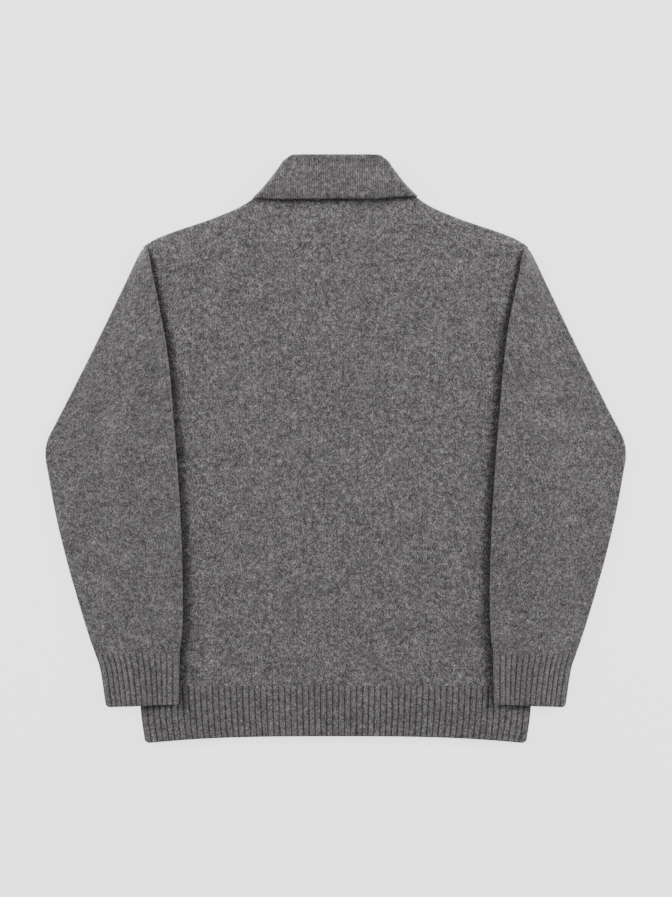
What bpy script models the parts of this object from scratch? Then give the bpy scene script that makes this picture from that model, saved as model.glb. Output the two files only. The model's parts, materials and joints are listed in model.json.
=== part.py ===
"""Long-sleeved knitted polo sweater, laid flat on its front with both sleeves folded down its sides.

Every cloth piece is a closed wall: a grid of points on the middle of the cloth, given its thickness
by Solidify. Lengths are in millimetres until a mesh is made. +Y runs from the hem to the neck,
+Z is up, and the back of the sweater faces up. The wearer's left is at -X.
"""
import math
from collections import namedtuple

import bmesh
import bpy
from mathutils import Vector

MM = 0.001

# Cloth
WALL = 2.2                 # thickness of the knit
SEAM_GAP = 0.4             # between two pieces joined by a seam
LAYER_GAP = 0.9            # between the front and the back of the body
REST_GAP = 0.4             # under a layer that lies on the back
HALF_WALL = WALL / 2
FRONT_Z = HALF_WALL                              # middle of the front, which lies on the table
BACK_Z = FRONT_Z + WALL + LAYER_GAP              # middle of the back
FLAT_FOLD = (BACK_Z - FRONT_Z) / 2               # radius of a pressed fold, to the middle of the cloth
OVER_Z = BACK_Z + WALL + REST_GAP                # middle of a layer that lies on the back

# Main lengths
TOTAL_LENGTH = 753.3       # top of the collar to the lowest corner of the hem
TOP = TOTAL_LENGTH / 2
HEM_TOP = -302.5           # where the body stops and the hem rib starts
HEM_DIP = 8.5              # how much lower the hem hangs at its sides than at its middle
HEM_HALF = 236.8
HEM_LEAN = 0.17            # the cloth's slanting side folds reach this much below their middle
ARMPIT = 24.0
YOKE = 118.0               # rows above this line bend up to the shoulders; foot of the placket slit
SHOULDER_TIP_HALF = 233.5
SEAM_TIP_HALF = 237.5

# Neck and collar
NECK_HALF = 91.0           # half of the front neckline's width
BACK_NECK_HALF = 92.5
BACK_NECK_Y = 323.5
BACK_NECK_DIP = 2.7
NECK_TOP = 322.7
NECK_DEPTH = 79.0
COLLAR_LIFT = 4.6          # the collar's leaves and the placket under the front raise it by this much
LIFT_SPREAD = 70.0         # distance over which the raised cloth comes back to the table
TURN_RADIUS = 1.4          # collar's turn along its top edge

# Placket and buttons
PLACKET_HALF = 14.0
PLACKET_WALL = 2.0
PLACKET_TOP = 242.5
BUTTON_RADIUS = 5.6
BUTTON_WALL = 1.8
BUTTON_FIRST_Y = 230.0
BUTTON_PITCH = 46.0
BUTTON_COUNT = 3

# Sleeves
TUCK_RADIUS = 2.2          # inner fold of a sleeve, where it stands on the back
SLEEVE_ON_BODY = 3.0       # pitch of a sleeve's two layers away from that fold
SETTLE = 25.0              # width over which the raised fold settles on the layer below it
BODY_EDGE_CLEAR = 3.0      # how far past the body's edge a sleeve's upper layer starts to come down
DROP = 25.0                # width over which it comes down to the table
SEAM_BESIDE = 9.0          # underarm seam, halfway down beside the body
LANDING = 20.0             # where a sleeve's under layer reaches the table, from the body's edge
TUCK_MIN = 2.5             # least width of the layer tucked under a sleeve's inner fold
ARMHOLE_GAP = 0.8          # between the front's armhole edge and the sleeve beside it
HEAD_GAP = 1.9             # the same at the top of the sleeve, to the middle of its upright edge

WOOL_GREY = (0.150, 0.147, 0.147)
RIB_GREY = (0.135, 0.132, 0.132)
BUTTON_GREY = (0.045, 0.043, 0.042)

Side = namedtuple("Side", "y half_width")
SIDES = [                  # side seam from the hem up, then the armhole from the armpit up
    Side(-377.0, 243.6), Side(-360.0, 246.5), Side(-334.0, 249.2), Side(-302.5, 251.0),
    Side(-250.0, 254.5), Side(-150.0, 258.5), Side(-50.0, 260.0), Side(0.0, 259.0),
    Side(24.0, 257.5), Side(33.0, 249.0), Side(45.0, 241.0), Side(60.0, 235.5),
    Side(80.0, 231.5), Side(106.0, 229.0), Side(125.0, 229.0), Side(155.0, 230.5), Side(183.0, 233.5),
    Side(205.0, 236.5), Side(221.0, 238.0), Side(236.0, 236.7), Side(248.0, 234.2), Side(262.0, 233.5),
]

Edge = namedtuple("Edge", "x y")
SHOULDER_FOLD = [          # outline of the shoulder, where the front turns over to the back
    Edge(91.0, 325.5), Edge(98.0, 321.0), Edge(105.0, 317.2), Edge(117.0, 310.9), Edge(132.0, 303.4),
    Edge(147.3, 297.4), Edge(162.7, 291.5), Edge(178.0, 286.4), Edge(208.8, 276.0),
    Edge(230.4, 267.3), Edge(237.3, 264.0),
]
BACK_SHOULDER_SEAM = [     # sloping seam on the back, from the neck to the armhole
    Edge(92.5, 319.0), Edge(103.7, 312.4), Edge(121.0, 292.5), Edge(142.2, 273.5), Edge(162.7, 258.8),
    Edge(185.7, 245.6), Edge(211.3, 230.0), Edge(237.5, 209.4),
]

Lift = namedtuple("Lift", "y half_width")
LIFT_SHAPE = [             # half width of the cloth that the placket and the collar's leaves raise
    Lift(108.0, 18.0), Lift(200.0, 88.0), Lift(225.0, 104.0), Lift(330.0, 106.0),
]

# Parts of the half width at which the body's columns run; the second is the placket slit's edge
COLUMNS = [0.0, 0.062, 0.19, 0.29, 0.345, NECK_HALF / SHOULDER_TIP_HALF, 0.45, 0.54, 0.65, 0.78, 0.9, 1.0]
SLIT_COLUMN = 1
NECK_COLUMN = 5
BODY_ROWS = [HEM_TOP, -250.0, -150.0, -50.0, 0.0, 24.0, 33.0, 45.0, 60.0, 80.0, 99.0, YOKE]
YOKE_ROWS = 7

SleeveRow = namedtuple("SleeveRow", "inner_y inner_x outer_y outer_x fold")
SLEEVE_ROWS = [            # inner edge and outer edge of each section; fold is how far the tuck is made
    SleeveRow(263.6, 235.0, 259.8, 242.8, 0.0), SleeveRow(256.0, 235.8, 252.0, 248.2, 0.3),
    SleeveRow(248.0, 235.7, 240.8, 254.2, 0.6), SleeveRow(236.0, 234.9, 226.0, 261.6, 0.85),
    SleeveRow(221.6, 233.0, 209.0, 269.6, 1.0), SleeveRow(205.0, 230.0, 192.0, 277.8, 1.0),
    SleeveRow(183.2, 225.3, 170.0, 288.4, 1.0), SleeveRow(155.0, 219.7, 145.0, 300.6, 1.0),
    SleeveRow(125.0, 214.7, 118.0, 314.0, 1.0), SleeveRow(95.0, 211.0, 91.0, 327.6, 1.0),
    SleeveRow(62.0, 208.2, 60.0, 343.3, 1.0), SleeveRow(36.0, 206.2, 36.0, 355.6, 1.0),
    SleeveRow(24.0, 205.2, 24.0, 362.0, 1.0), SleeveRow(9.0, 203.9, 9.0, 368.9, 1.0),
    SleeveRow(-3.0, 203.0, -3.0, 371.2, 1.0), SleeveRow(-12.0, 202.3, -12.0, 371.2, 1.0),
    SleeveRow(-28.0, 201.2, -28.0, 368.6, 1.0), SleeveRow(-85.0, 197.6, -85.0, 358.1, 1.0),
    SleeveRow(-143.0, 195.3, -143.0, 344.2, 1.0), SleeveRow(-182.0, 194.6, -182.0, 333.2, 1.0),
    SleeveRow(-220.0, 194.9, -220.0, 321.9, 1.0), SleeveRow(-246.0, 196.7, -246.0, 313.6, 1.0),
    SleeveRow(-260.8, 199.0, -260.8, 308.2, 1.0),
]
CUFF_ROWS = [
    SleeveRow(-261.4, 199.0, -261.4, 308.0, 1.0), SleeveRow(-277.6, 199.4, -277.6, 302.1, 1.0),
    SleeveRow(-296.8, 199.8, -296.8, 298.5, 1.0), SleeveRow(-316.0, 200.1, -318.0, 295.6, 1.0),
    SleeveRow(-325.6, 200.3, -331.4, 293.6, 1.0),
]

Station = namedtuple("Station", "turn seam_x seam_y fold_x fold_y edge_x edge_y bow")
COLLAR = [                 # one half of the collar, from the middle of the back round to its front end
    Station(90, 0.0, 323.9, 0.0, 374.15, 0.0, 318.1, 0.0),
    Station(90, 24.0, 323.7, 24.0, 374.15, 36.0, 318.2, 0.0),
    Station(90, 54.0, 322.9, 46.0, 374.15, 70.0, 318.7, 0.0),
    Station(90, 83.5, 322.6, 57.0, 371.4, 98.5, 319.4, -2.0),
    Station(45, 84.6, 323.6, 58.6, 369.0, 100.0, 319.4, -2.6),
    Station(0, 85.4, 324.4, 58.6, 367.6, 100.4, 319.6, -2.8),
    Station(-45, 85.2, 323.4, 57.6, 367.0, 100.0, 319.0, -2.6),
    Station(-90, 87.4, 319.0, 54.0, 366.0, 99.0, 316.0, -2.0),
    Station(-90, 79.6, 286.4, 43.0, 338.0, 99.0, 288.0, 0.0),
    Station(-90, 67.0, 270.6, 32.0, 308.0, 94.0, 260.0, 0.0),
    Station(-90, 43.9, 254.6, 21.0, 281.0, 87.0, 235.0, 0.0),
    Station(-90, 15.6, 246.1, 12.0, 262.0, 79.0, 212.0, 0.0),
]
COLLAR_OUT = Vector((0.80, 0.60, 0.0))       # across the collar's creased side, away from the neck
COLLAR_STAND_Z = (FRONT_Z + BACK_Z) / 2 + COLLAR_LIFT
COLLAR_FALL_TOP = OVER_Z + COLLAR_LIFT
COLLAR_FALL_Z = (COLLAR_FALL_TOP + FRONT_Z) / 2
COLLAR_FALL_RADIUS = (COLLAR_FALL_TOP - FRONT_Z) / 2


def smooth(part):
    part = min(1.0, max(0.0, part))
    return part * part * (3 - 2 * part)


def mix(start, end, part):
    return start + (end - start) * part


def curve(table, at):
    """Smooth curve through a table's rows of place and value, with no overshoot between rows."""
    rows = sorted((row[0], row[1]) for row in table)
    at = min(max(at, rows[0][0]), rows[-1][0])
    spans = [b[0] - a[0] for a, b in zip(rows, rows[1:])]
    slopes = [(b[1] - a[1]) / span for (a, b), span in zip(zip(rows, rows[1:]), spans)]
    leans = [slopes[0]]
    for before, after in zip(slopes, slopes[1:]):
        product = before * after
        leans.append(2 * product / (before + after) if product > 0 else 0.0)
    leans.append(slopes[-1])
    last = len(spans) - 1
    index = next((i for i in range(last) if at < rows[i + 1][0]), last)
    t = (at - rows[index][0]) / spans[index]
    lean_in, lean_out = leans[index] * spans[index], leans[index + 1] * spans[index]
    start, end = rows[index][1], rows[index + 1][1]
    return (
        start * (1 + 2 * t) * (1 - t) ** 2 + lean_in * t * (1 - t) ** 2
        + end * t * t * (3 - 2 * t) + lean_out * t * t * (t - 1)
    )


def lift(x, y):
    """How far the collar's leaves and the placket raise the body above the table."""
    beside = (abs(x) - curve(LIFT_SHAPE, y)) / LIFT_SPREAD
    below = (LIFT_SHAPE[0].y - y) / LIFT_SPREAD
    return COLLAR_LIFT * (1 - smooth(beside)) * (1 - smooth(below))


def add_grid(bm, columns, rows, place):
    """A grid whose point in each column and row is put at place(column, row)."""
    grid = bmesh.ops.create_grid(bm, x_segments=columns - 1, y_segments=rows - 1, size=1.0)
    for number, vert in enumerate(grid["verts"]):
        vert.co = Vector(place(number % columns, number // columns)) * MM


def wool(name, colour):
    material = bpy.data.materials.new(name)
    material.use_nodes = True
    shader = material.node_tree.nodes["Principled BSDF"]
    shader.inputs["Base Color"].default_value = (*colour, 1.0)
    shader.inputs["Roughness"].default_value = 0.95
    shader.inputs["Metallic"].default_value = 0.0
    return material


def finish(name, bm, colour, wall=None):
    """Turn a mesh into the named piece; a sheet is thickened equally to both sides."""
    bmesh.ops.remove_doubles(bm, verts=bm.verts, dist=1e-6)
    bmesh.ops.recalc_face_normals(bm, faces=bm.faces)
    mesh = bpy.data.meshes.new(name)
    bm.to_mesh(mesh)
    bm.free()
    mesh.materials.append(wool(name + "_finish", colour))
    mesh.shade_smooth()
    mesh.set_sharp_from_angle(angle=math.radians(50))
    piece = bpy.data.objects.new(name, mesh)
    bpy.context.scene.collection.objects.link(piece)
    if wall:
        thick = piece.modifiers.new("wall", "SOLIDIFY")
        thick.thickness = wall * MM
        thick.offset = 0.0
        thick.use_quality_normals = True
    return piece


def body_column(column):
    """Signed part of the half width for a body column counted from the left."""
    index = column - (len(COLUMNS) - 1)
    return math.copysign(COLUMNS[abs(index)], index), abs(index)


def body_x(part, index, half):
    if index == SLIT_COLUMN:
        return math.copysign(PLACKET_HALF + SEAM_GAP, part)
    return part * half


def back_edge(x):
    x = abs(x)
    if x < BACK_NECK_HALF:
        return BACK_NECK_Y - BACK_NECK_DIP * (x / BACK_NECK_HALF) ** 2
    return curve(BACK_SHOULDER_SEAM, x)


def shoulder_start(x):
    """Height at which the front leaves the table to turn over the shoulder."""
    rise = curve(SHOULDER_FOLD, x + 3) - curve(SHOULDER_FOLD, x - 3)
    return curve(SHOULDER_FOLD, x) - HALF_WALL * math.hypot(1, rise / 6) - FLAT_FOLD


def front_edge(x):
    x = abs(x)
    if x < NECK_HALF - 0.01:
        return NECK_TOP - NECK_DEPTH * math.sqrt(1 - (x / NECK_HALF) ** 2)
    return shoulder_start(x)


def body_point(column, row, tip, edge, level):
    """A point of the front or the back: straight rows up to the yoke line, then rows to the edge."""
    part, index = body_column(column)
    if row < len(BODY_ROWS):
        y = BODY_ROWS[row]
        x = body_x(part, index, curve(SIDES, y))
    else:
        rise = (row - len(BODY_ROWS) + 1) / YOKE_ROWS
        side_y = mix(YOKE, edge(tip), rise)
        half = tip if rise == 1 else curve(SIDES, side_y)
        x = body_x(part, index, half)
        y = mix(YOKE, edge(x), rise)
    return x, y, level + lift(x, y)


def make_back_panel():
    bm = bmesh.new()
    columns = 2 * len(COLUMNS) - 1
    rows = len(BODY_ROWS) + YOKE_ROWS
    add_grid(bm, columns, rows, lambda c, r: body_point(c, r, SEAM_TIP_HALF, back_edge, BACK_Z))
    return finish("back_panel", bm, WOOL_GREY, WALL)


def shoulder_point(side, column, row):
    """A point of the front where it turns over one shoulder and runs down to the back seam."""
    part = COLUMNS[NECK_COLUMN + column]
    top_x, seam_x = part * SHOULDER_TIP_HALF, part * SEAM_TIP_HALF
    start = shoulder_start(top_x)
    arc_rows = 4
    if row <= arc_rows:
        angle = math.pi * row / arc_rows
        x, y = top_x, start + FLAT_FOLD * math.sin(angle)
        z = (FRONT_Z + BACK_Z) / 2 - FLAT_FOLD * math.cos(angle)
    else:
        down = (row - arc_rows) / 2
        x = mix(top_x, seam_x, down)
        y = mix(start, back_edge(seam_x) + SEAM_GAP, down)
        z = BACK_Z
    return side * x, y, z + lift(x, y)


def make_front_panel():
    bm = bmesh.new()
    columns = 2 * len(COLUMNS) - 1
    rows = len(BODY_ROWS) + YOKE_ROWS
    add_grid(bm, columns, rows, lambda c, r: body_point(c, r, SHOULDER_TIP_HALF, front_edge, FRONT_Z))
    slit = [
        face for face in bm.faces
        if abs(face.calc_center_median().x) < PLACKET_HALF * MM
        and face.calc_center_median().y > YOKE * MM
    ]
    bmesh.ops.delete(bm, geom=slit, context="FACES")
    for side in (-1, 1):
        add_grid(bm, len(COLUMNS) - NECK_COLUMN, 7, lambda c, r, side=side: shoulder_point(side, c, r))
    return finish("front_panel", bm, WOOL_GREY, WALL)


def hem_point(column, row):
    """The hem is one flattened tube: its front, a side fold, its back and the other side fold."""
    spans, arc = 16, 4
    count = 2 * (spans + arc)
    column %= count
    down = row / 3
    y_side = mix(HEM_TOP - SEAM_GAP, -TOP, down)
    half = curve(SIDES, y_side) - HALF_WALL - FLAT_FOLD
    if column <= spans:
        x, z = mix(-half, half, column / spans), FRONT_Z
    elif column < spans + arc:
        angle = math.pi * (column - spans) / arc
        x, z = half + FLAT_FOLD * math.sin(angle), (FRONT_Z + BACK_Z) / 2 - FLAT_FOLD * math.cos(angle)
    elif column <= 2 * spans + arc:
        x, z = mix(half, -half, (column - spans - arc) / spans), BACK_Z
    else:
        angle = math.pi * (column - 2 * spans - arc) / arc
        x, z = -half - FLAT_FOLD * math.sin(angle), (FRONT_Z + BACK_Z) / 2 + FLAT_FOLD * math.cos(angle)
    dip = HEM_DIP * min(1.0, abs(x) / HEM_HALF) ** 3
    y = mix(HEM_TOP - SEAM_GAP, HEM_LEAN + HEM_DIP - TOP - dip, down)
    return x, y, z


def make_hem():
    bm = bmesh.new()
    add_grid(bm, 41, 4, hem_point)
    return finish("hem_rib", bm, RIB_GREY, WALL)


def fold_arc(centre_x, centre_z, radius, start, end):
    """Three points inside a fold's arc, between two angles given in degrees."""
    angles = [math.radians(mix(start, end, step / 4)) for step in (1, 2, 3)]
    return [(centre_x + radius * math.cos(a), centre_z + radius * math.sin(a)) for a in angles]


def sleeve_section(row):
    """Middle of the cloth in one sleeve section, from the back armhole round to the front armhole.

    Below the armpit both ends are one point, at the seam beside the body, so the sleeve is a tube.
    """
    body = curve(SIDES, row.inner_y)
    tube = row.inner_y <= ARMPIT
    inner = row.inner_x + HALF_WALL + TUCK_RADIUS
    outer = row.outer_x - HALF_WALL - FLAT_FOLD
    upper = OVER_Z + 2 * TUCK_RADIUS
    settled = OVER_Z + SLEEVE_ON_BODY
    middle = (FRONT_Z + BACK_Z) / 2
    drop_end = min(body + BODY_EDGE_CLEAR + DROP, outer - 1.5)
    drop_start = min(max(body + BODY_EDGE_CLEAR, mix(inner, drop_end, 0.3)), drop_end)
    settle = min(inner + SETTLE, mix(inner, drop_start, 0.5))
    armhole = (body + ARMHOLE_GAP, FRONT_Z)
    if tube:
        back_end = front_end = (body + SEAM_BESIDE, (OVER_Z + FRONT_Z) / 2)
        under, low = (body + 1, OVER_Z), (body + LANDING, FRONT_Z)
    else:
        tuck = max(body + ARMHOLE_GAP, inner + TUCK_MIN)
        back_end, front_end = (tuck, OVER_Z), armhole
        under, low = (mix(tuck, inner, 0.5), OVER_Z), (mix(body, outer, 0.5), FRONT_Z)
    folded = (
        [back_end, under, (inner, OVER_Z)]
        + fold_arc(inner, OVER_Z + TUCK_RADIUS, TUCK_RADIUS, 270, 90)
        + [(inner, upper), (settle, settled), (drop_start, settled)]
        + [(mix(drop_start, drop_end, t), mix(settled, BACK_Z, smooth(t))) for t in (0.33, 0.67)]
        + [(drop_end, BACK_Z), (outer, BACK_Z)]
        + fold_arc(outer, middle, FLAT_FOLD, 90, -90)
        + [(outer, FRONT_Z), low, front_end]
    )
    flat = [(mix(body + HEAD_GAP, outer, step / 12), BACK_Z) for step in range(13)]
    flat += fold_arc(outer, middle, FLAT_FOLD, 90, -90)
    flat += [(outer, FRONT_Z), (mix(outer, armhole[0], 0.5), FRONT_Z), armhole]
    return [(mix(a[0], b[0], row.fold), mix(a[1], b[1], row.fold)) for a, b in zip(flat, folded)]


def make_sleeve_part(name, rows, side, colour):
    sections = [sleeve_section(row) for row in rows]

    def place(column, number):
        row = rows[number]
        x, z = sections[number][column]
        across = (x - row.inner_x) / (row.outer_x - row.inner_x)
        return side * x, mix(row.inner_y, row.outer_y, across), z

    bm = bmesh.new()
    add_grid(bm, len(sections[0]), len(rows), place)
    return finish(name, bm, colour, WALL)


def collar_points(station):
    """One section of the collar: up the stand, over the turn, and down the fall to its free edge."""
    angle = math.radians(station.turn)
    wrap = Vector((math.cos(angle) * COLLAR_OUT.x, math.cos(angle) * COLLAR_OUT.y, math.sin(angle)))
    seam = Vector((station.seam_x, station.seam_y, 0.0))
    fold = Vector((station.fold_x, station.fold_y, 0.0))
    edge = Vector((station.edge_x, station.edge_y, 0.0))
    stand_shift = wrap * FLAT_FOLD + Vector((0, 0, COLLAR_STAND_Z))
    fall_shift = wrap * COLLAR_FALL_RADIUS + Vector((0, 0, COLLAR_FALL_Z))
    up = (fold - (seam + edge) / 2).normalized()
    stand = [seam.lerp(fold, part) + stand_shift for part in (0.0, 0.5, 1.0)]
    fall = [
        fold.lerp(edge, part) + COLLAR_OUT * station.bow * 4 * part * (1 - part) + fall_shift
        for part in (0.0, 0.25, 0.5, 0.75, 1.0)
    ]
    middle, reach = (stand[-1] + fall[0]) / 2, (stand[-1] - fall[0]) / 2
    turn = [
        middle + reach * math.cos(math.radians(a)) + up * TURN_RADIUS * math.sin(math.radians(a))
        for a in (45, 90, 135)
    ]
    return stand + turn + fall


def make_collar():
    half = [collar_points(station) for station in COLLAR]
    last = len(half) - 1

    def place(column, row):
        index = column - last
        point = half[abs(index)][row]
        return math.copysign(point.x, index) if index else 0.0, point.y, point.z

    bm = bmesh.new()
    add_grid(bm, 2 * last + 1, len(half[0]), place)
    return finish("collar", bm, WOOL_GREY, WALL)


def make_band(name, half_width, bottom, level):
    """One of the placket's two bands, a plain strip with its edges rounded a little."""
    bm = bmesh.new()
    bmesh.ops.create_cube(bm, size=1.0)
    for vert in bm.verts:
        vert.co.x *= 2 * half_width * MM
        vert.co.y = mix(bottom, PLACKET_TOP, vert.co.y + 0.5) * MM
        vert.co.z = (level + vert.co.z * PLACKET_WALL) * MM
    bmesh.ops.bevel(bm, geom=bm.edges, offset=0.5 * MM, segments=1, profile=0.5, affect="EDGES")
    return finish(name, bm, RIB_GREY)


def make_placket():
    """The upper band lies under the front, over the slit; the lower band fills the slit itself."""
    upper = COLLAR_LIFT - SEAM_GAP - PLACKET_WALL / 2
    make_band("placket_upper_band", PLACKET_HALF + 2, YOKE - 8, upper)
    make_band("placket_lower_band", PLACKET_HALF, YOKE + SEAM_GAP, COLLAR_LIFT + WALL / 2)


def make_button(number):
    bm = bmesh.new()
    bmesh.ops.create_cone(
        bm, cap_ends=True, segments=20, radius1=BUTTON_RADIUS * MM, radius2=BUTTON_RADIUS * MM,
        depth=BUTTON_WALL * MM,
    )
    rim = [edge for edge in bm.edges if abs(edge.verts[0].co.z - edge.verts[1].co.z) < 1e-6]
    bmesh.ops.bevel(bm, geom=rim, offset=0.5 * MM, segments=1, profile=0.5, affect="EDGES")
    y = BUTTON_FIRST_Y - BUTTON_PITCH * (number - 1)
    bmesh.ops.translate(bm, verts=bm.verts, vec=Vector((0, y, BUTTON_WALL / 2)) * MM)
    return finish(f"button_{number}", bm, BUTTON_GREY)


def main():
    for thing in list(bpy.data.objects):
        bpy.data.objects.remove(thing)
    make_front_panel()
    make_back_panel()
    make_hem()
    for name, side in (("left", -1), ("right", 1)):
        make_sleeve_part(f"sleeve_{name}", SLEEVE_ROWS, side, WOOL_GREY)
        make_sleeve_part(f"cuff_{name}", CUFF_ROWS, side, RIB_GREY)
    make_collar()
    make_placket()
    for number in range(1, BUTTON_COUNT + 1):
        make_button(number)


main()
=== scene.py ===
"""Looks of a long-sleeved knitted polo sweater, laid flat on its front, its sleeves folded down its sides.

The file is laid out as an add-on and is run as a script. Tables and the functions that place points
are in millimetres, properties are in metres. +Y runs from the hem to the neck, +Z is up, the back of
the sweater faces up, and the wearer's left is at -X.
"""
import json
import math
from bisect import bisect_right
from collections import namedtuple

import bmesh
import bpy
from bpy.props import FloatProperty, FloatVectorProperty, IntProperty, PointerProperty
from bpy.types import Operator, Panel, PropertyGroup
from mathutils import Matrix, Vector, noise


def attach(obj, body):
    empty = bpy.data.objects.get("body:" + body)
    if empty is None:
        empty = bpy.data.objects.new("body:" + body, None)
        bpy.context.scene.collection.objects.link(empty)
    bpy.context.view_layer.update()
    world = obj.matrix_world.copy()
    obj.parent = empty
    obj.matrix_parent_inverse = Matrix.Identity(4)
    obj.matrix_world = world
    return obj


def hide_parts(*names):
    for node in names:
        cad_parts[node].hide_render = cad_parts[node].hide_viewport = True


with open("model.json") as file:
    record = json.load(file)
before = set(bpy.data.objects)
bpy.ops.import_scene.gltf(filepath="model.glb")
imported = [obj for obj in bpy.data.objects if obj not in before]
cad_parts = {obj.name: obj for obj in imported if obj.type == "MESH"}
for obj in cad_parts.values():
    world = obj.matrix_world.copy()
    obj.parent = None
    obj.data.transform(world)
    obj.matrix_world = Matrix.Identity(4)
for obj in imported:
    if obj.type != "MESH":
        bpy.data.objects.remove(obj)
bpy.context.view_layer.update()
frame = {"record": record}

bl_info = {
    "name": "Knitted polo sweater",
    "version": (1, 0, 0),
    "blender": (4, 5, 0),
    "location": "View3D > Sidebar > Sweater",
    "description": "Makes a knitted polo sweater laid flat, piece by piece, on its solid frame",
    "category": "Add Mesh",
}

MM = 0.001
SLOT_COLOURS = {row["slot"]: row["base_color"] for row in frame["record"]["materials"]}
BODY = "root"

# Main lengths, as in the solid frame
TOTAL_LENGTH = 753.3
TOP = TOTAL_LENGTH / 2
HEM_TOP = -302.5
HEM_DIP = 8.5              # how much lower the hem hangs at its sides than at its middle
HEM_HALF = 236.8           # half width over which it comes to hang lower
HEM_LEAN = 0.17            # the cloth's slanting side folds reach this much below their middle
HEM_BOTTOM_HALF = 243.6
CORNER_RADIUS = 5.5        # lower corners of the hem and the cuffs
CORNER_ARC = 0.98          # how near such a corner comes to a full quarter round
ARMPIT = 24.0
YOKE = 118.0               # foot of the slit for the placket
SHOULDER_TIP_HALF = 236.4
SEAM_TIP_HALF = 239.1      # a little more than in the solid frame
NECK_HALF = 91.0
NECK_SLACK = 0.01          # how near to that a point counts as on the shoulder
BACK_NECK_HALF = 92.5
BACK_NECK_Y = 323.5
BACK_NECK_DIP = 2.7
NECK_TOP = 322.7
NECK_DEPTH = 79.0
COLLAR_LIFT = 4.6          # the collar's leaves and the placket under the front raise it by this much
LIFT_SPREAD = 70.0         # width over which it comes down again
TURN_RADIUS = 1.4          # of the collar's turn along its top edge
PLACKET_HALF = 14.0
PLACKET_WALL = 2.0
PLACKET_TOP = 242.5
UPPER_BAND_WIDER = 2.0     # on each side, than the lower band
UPPER_BAND_LOWER = 8.0     # below the slit's foot
SLIT_GAP = 0.4
BUTTON_FIRST_Y = 230.0
BUTTON_PITCH = 46.0
BUTTON_COUNT = 3
REST_GAP = 0.4             # under a layer that lies on the back

# Shoulder seams on the back
SHOULDER_GAP = 0.08        # between the turned shoulder and the back
SEAM_SWELL = 1.3           # how far the back's sloping edge stands up along the seam
SEAM_EDGE = -0.4           # the same at its very edge, as a share of that
SEAM_ROLL = 2.6            # width in which it comes up from the edge
SEAM_SWELL_WIDTH = 14.0    # width in which it goes down again
SEAM_FURROW = 1.2          # how far the cloth turned over the shoulder sinks toward the seam
SEAM_FURROW_WIDTH = 15.0   # width in which it sinks, and the most as a share of the turned cloth's width
SEAM_FURROW_SHARE = 0.6
SEAM_SLOPE = 0.76          # distance across the seam for each unit of height: the cosine of its slope
SEAM_NECK_GAP = 4.0        # swell and furrow start this far from the neck, over SEAM_NECK_FADE
SEAM_NECK_FADE = 14.0
SEAM_TIP_FROM = 196.0      # and go down toward the shoulder's tip from here, over SEAM_TIP_FADE
SEAM_TIP_FADE = 22.0

# The back between its folded edges
PUFF_SPREAD = 38.0         # width over which the cloth puffs up from its folded edges
CREASE_SPREAD = 30.0       # the same for its creases
EDGE_SOFTNESS = 0.35       # share of a soft start in that rise below the shoulder's fold; the rest is steep
TIP_FROM = 190.0           # from here out, over TIP_OVER, the width below the shoulder's fold gets smaller
TIP_OVER = 35.0
TIP_SPREAD = 0.55          # share of it that is left at the shoulder's tip
SIDE_SHOWS_OVER = 20.0     # length above the cuffs' ends over which a sleeve comes to cover the side fold
SIDE_FOLD_OVER = 12.0      # length below the armpit over which the side fold gets its full radius
HEM_PUFF = 0.35            # share of its puff at the hem's edge, which gets to 1 over HEM_PUFF_OVER
HEM_PUFF_OVER = 80.0
CREASE_REACH = 3.0         # widths of a crease past which it adds nothing

# The back beside what lies on it
UNDERCUT = 2.0             # how far under a sleeve's fold the back starts to rise
SADDLE_SHOULDER = 19.0     # width over which it rises at the shoulder
SADDLE_CUFF = 14.0         # the same below the cuffs
SADDLE_SIDE = 20.0         # the same beside the rest of a sleeve
RIGHT_SLEEVE_OUT = 1.6     # how much further out the right sleeve's fold lies, from RIGHT_SLEEVE_FROM down
RIGHT_SLEEVE_FROM = 160.0
RIGHT_SLEEVE_OVER = 50.0
HEAD_FROM = 120.0          # from here up, over HEAD_OVER, a sleeve's inner fold gets lower
HEAD_OVER = 125.0
HEAD_SHARE = 0.62          # share of its height that is left at the head
CUFF_SLANT = 0.062         # how much lower a cuff's end lies for each unit of width outward
COLLAR_FADE = 60.0         # length below the collar's edge in which the cloth puffs to its full height
COLLAR_SIDE_FADE = 15.0    # width beside the neck over which the collar stops holding the cloth down
COLLAR_DIP = 3.6           # how far the back sinks along the collar's edge
COLLAR_DIP_WIDTH = 2.9
COLLAR_DIP_BELOW = 0.6     # distance of the dip's middle below the edge
COLLAR_DIP_INSET = 8.0     # the dip ends from this far inside the neck's sides, over COLLAR_DIP_FADE
COLLAR_DIP_FADE = 14.0

# Folds of the sleeves
SLEEVE_ON_BODY = 7.0       # how far a sleeve's upper layer lies above its lower one on the body
CUFF_ON_BODY = 0.42        # share of that at a cuff's end, reached over CUFF_SETTLES_OVER
CUFF_SETTLES_OVER = 60.0
SETTLE = 30.0              # width over which the inner fold settles to that height, and the least width
SETTLE_LEAST = 1.0
BODY_EDGE_CLEAR = 3.0      # how far past the body's edge the upper layer starts to come down
DROP = 60.0                # width over which it comes down to the table, and the least width
DROP_LEAST = 0.1
DROP_FROM = 0.3            # earliest start, as a share of the way from the inner fold to the drop's end
DROP_CLEAR = 1.5           # least distance of the drop's end from the outer fold
SEAM_BESIDE = 9.0          # underarm seam, halfway down beside the body
UNDER_FROM = 1.0           # how far past the body's edge a sleeve's under layer starts to come down
LANDING = 20.0             # where it reaches the table, from the body's edge
TUCK_MIN = 2.5             # least width of the layer tucked under a sleeve's inner fold
ARMHOLE_GAP = 0.2
HEAD_FADE = 8.0            # width past the body's edge in which the flat head loses the body's rise
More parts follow.
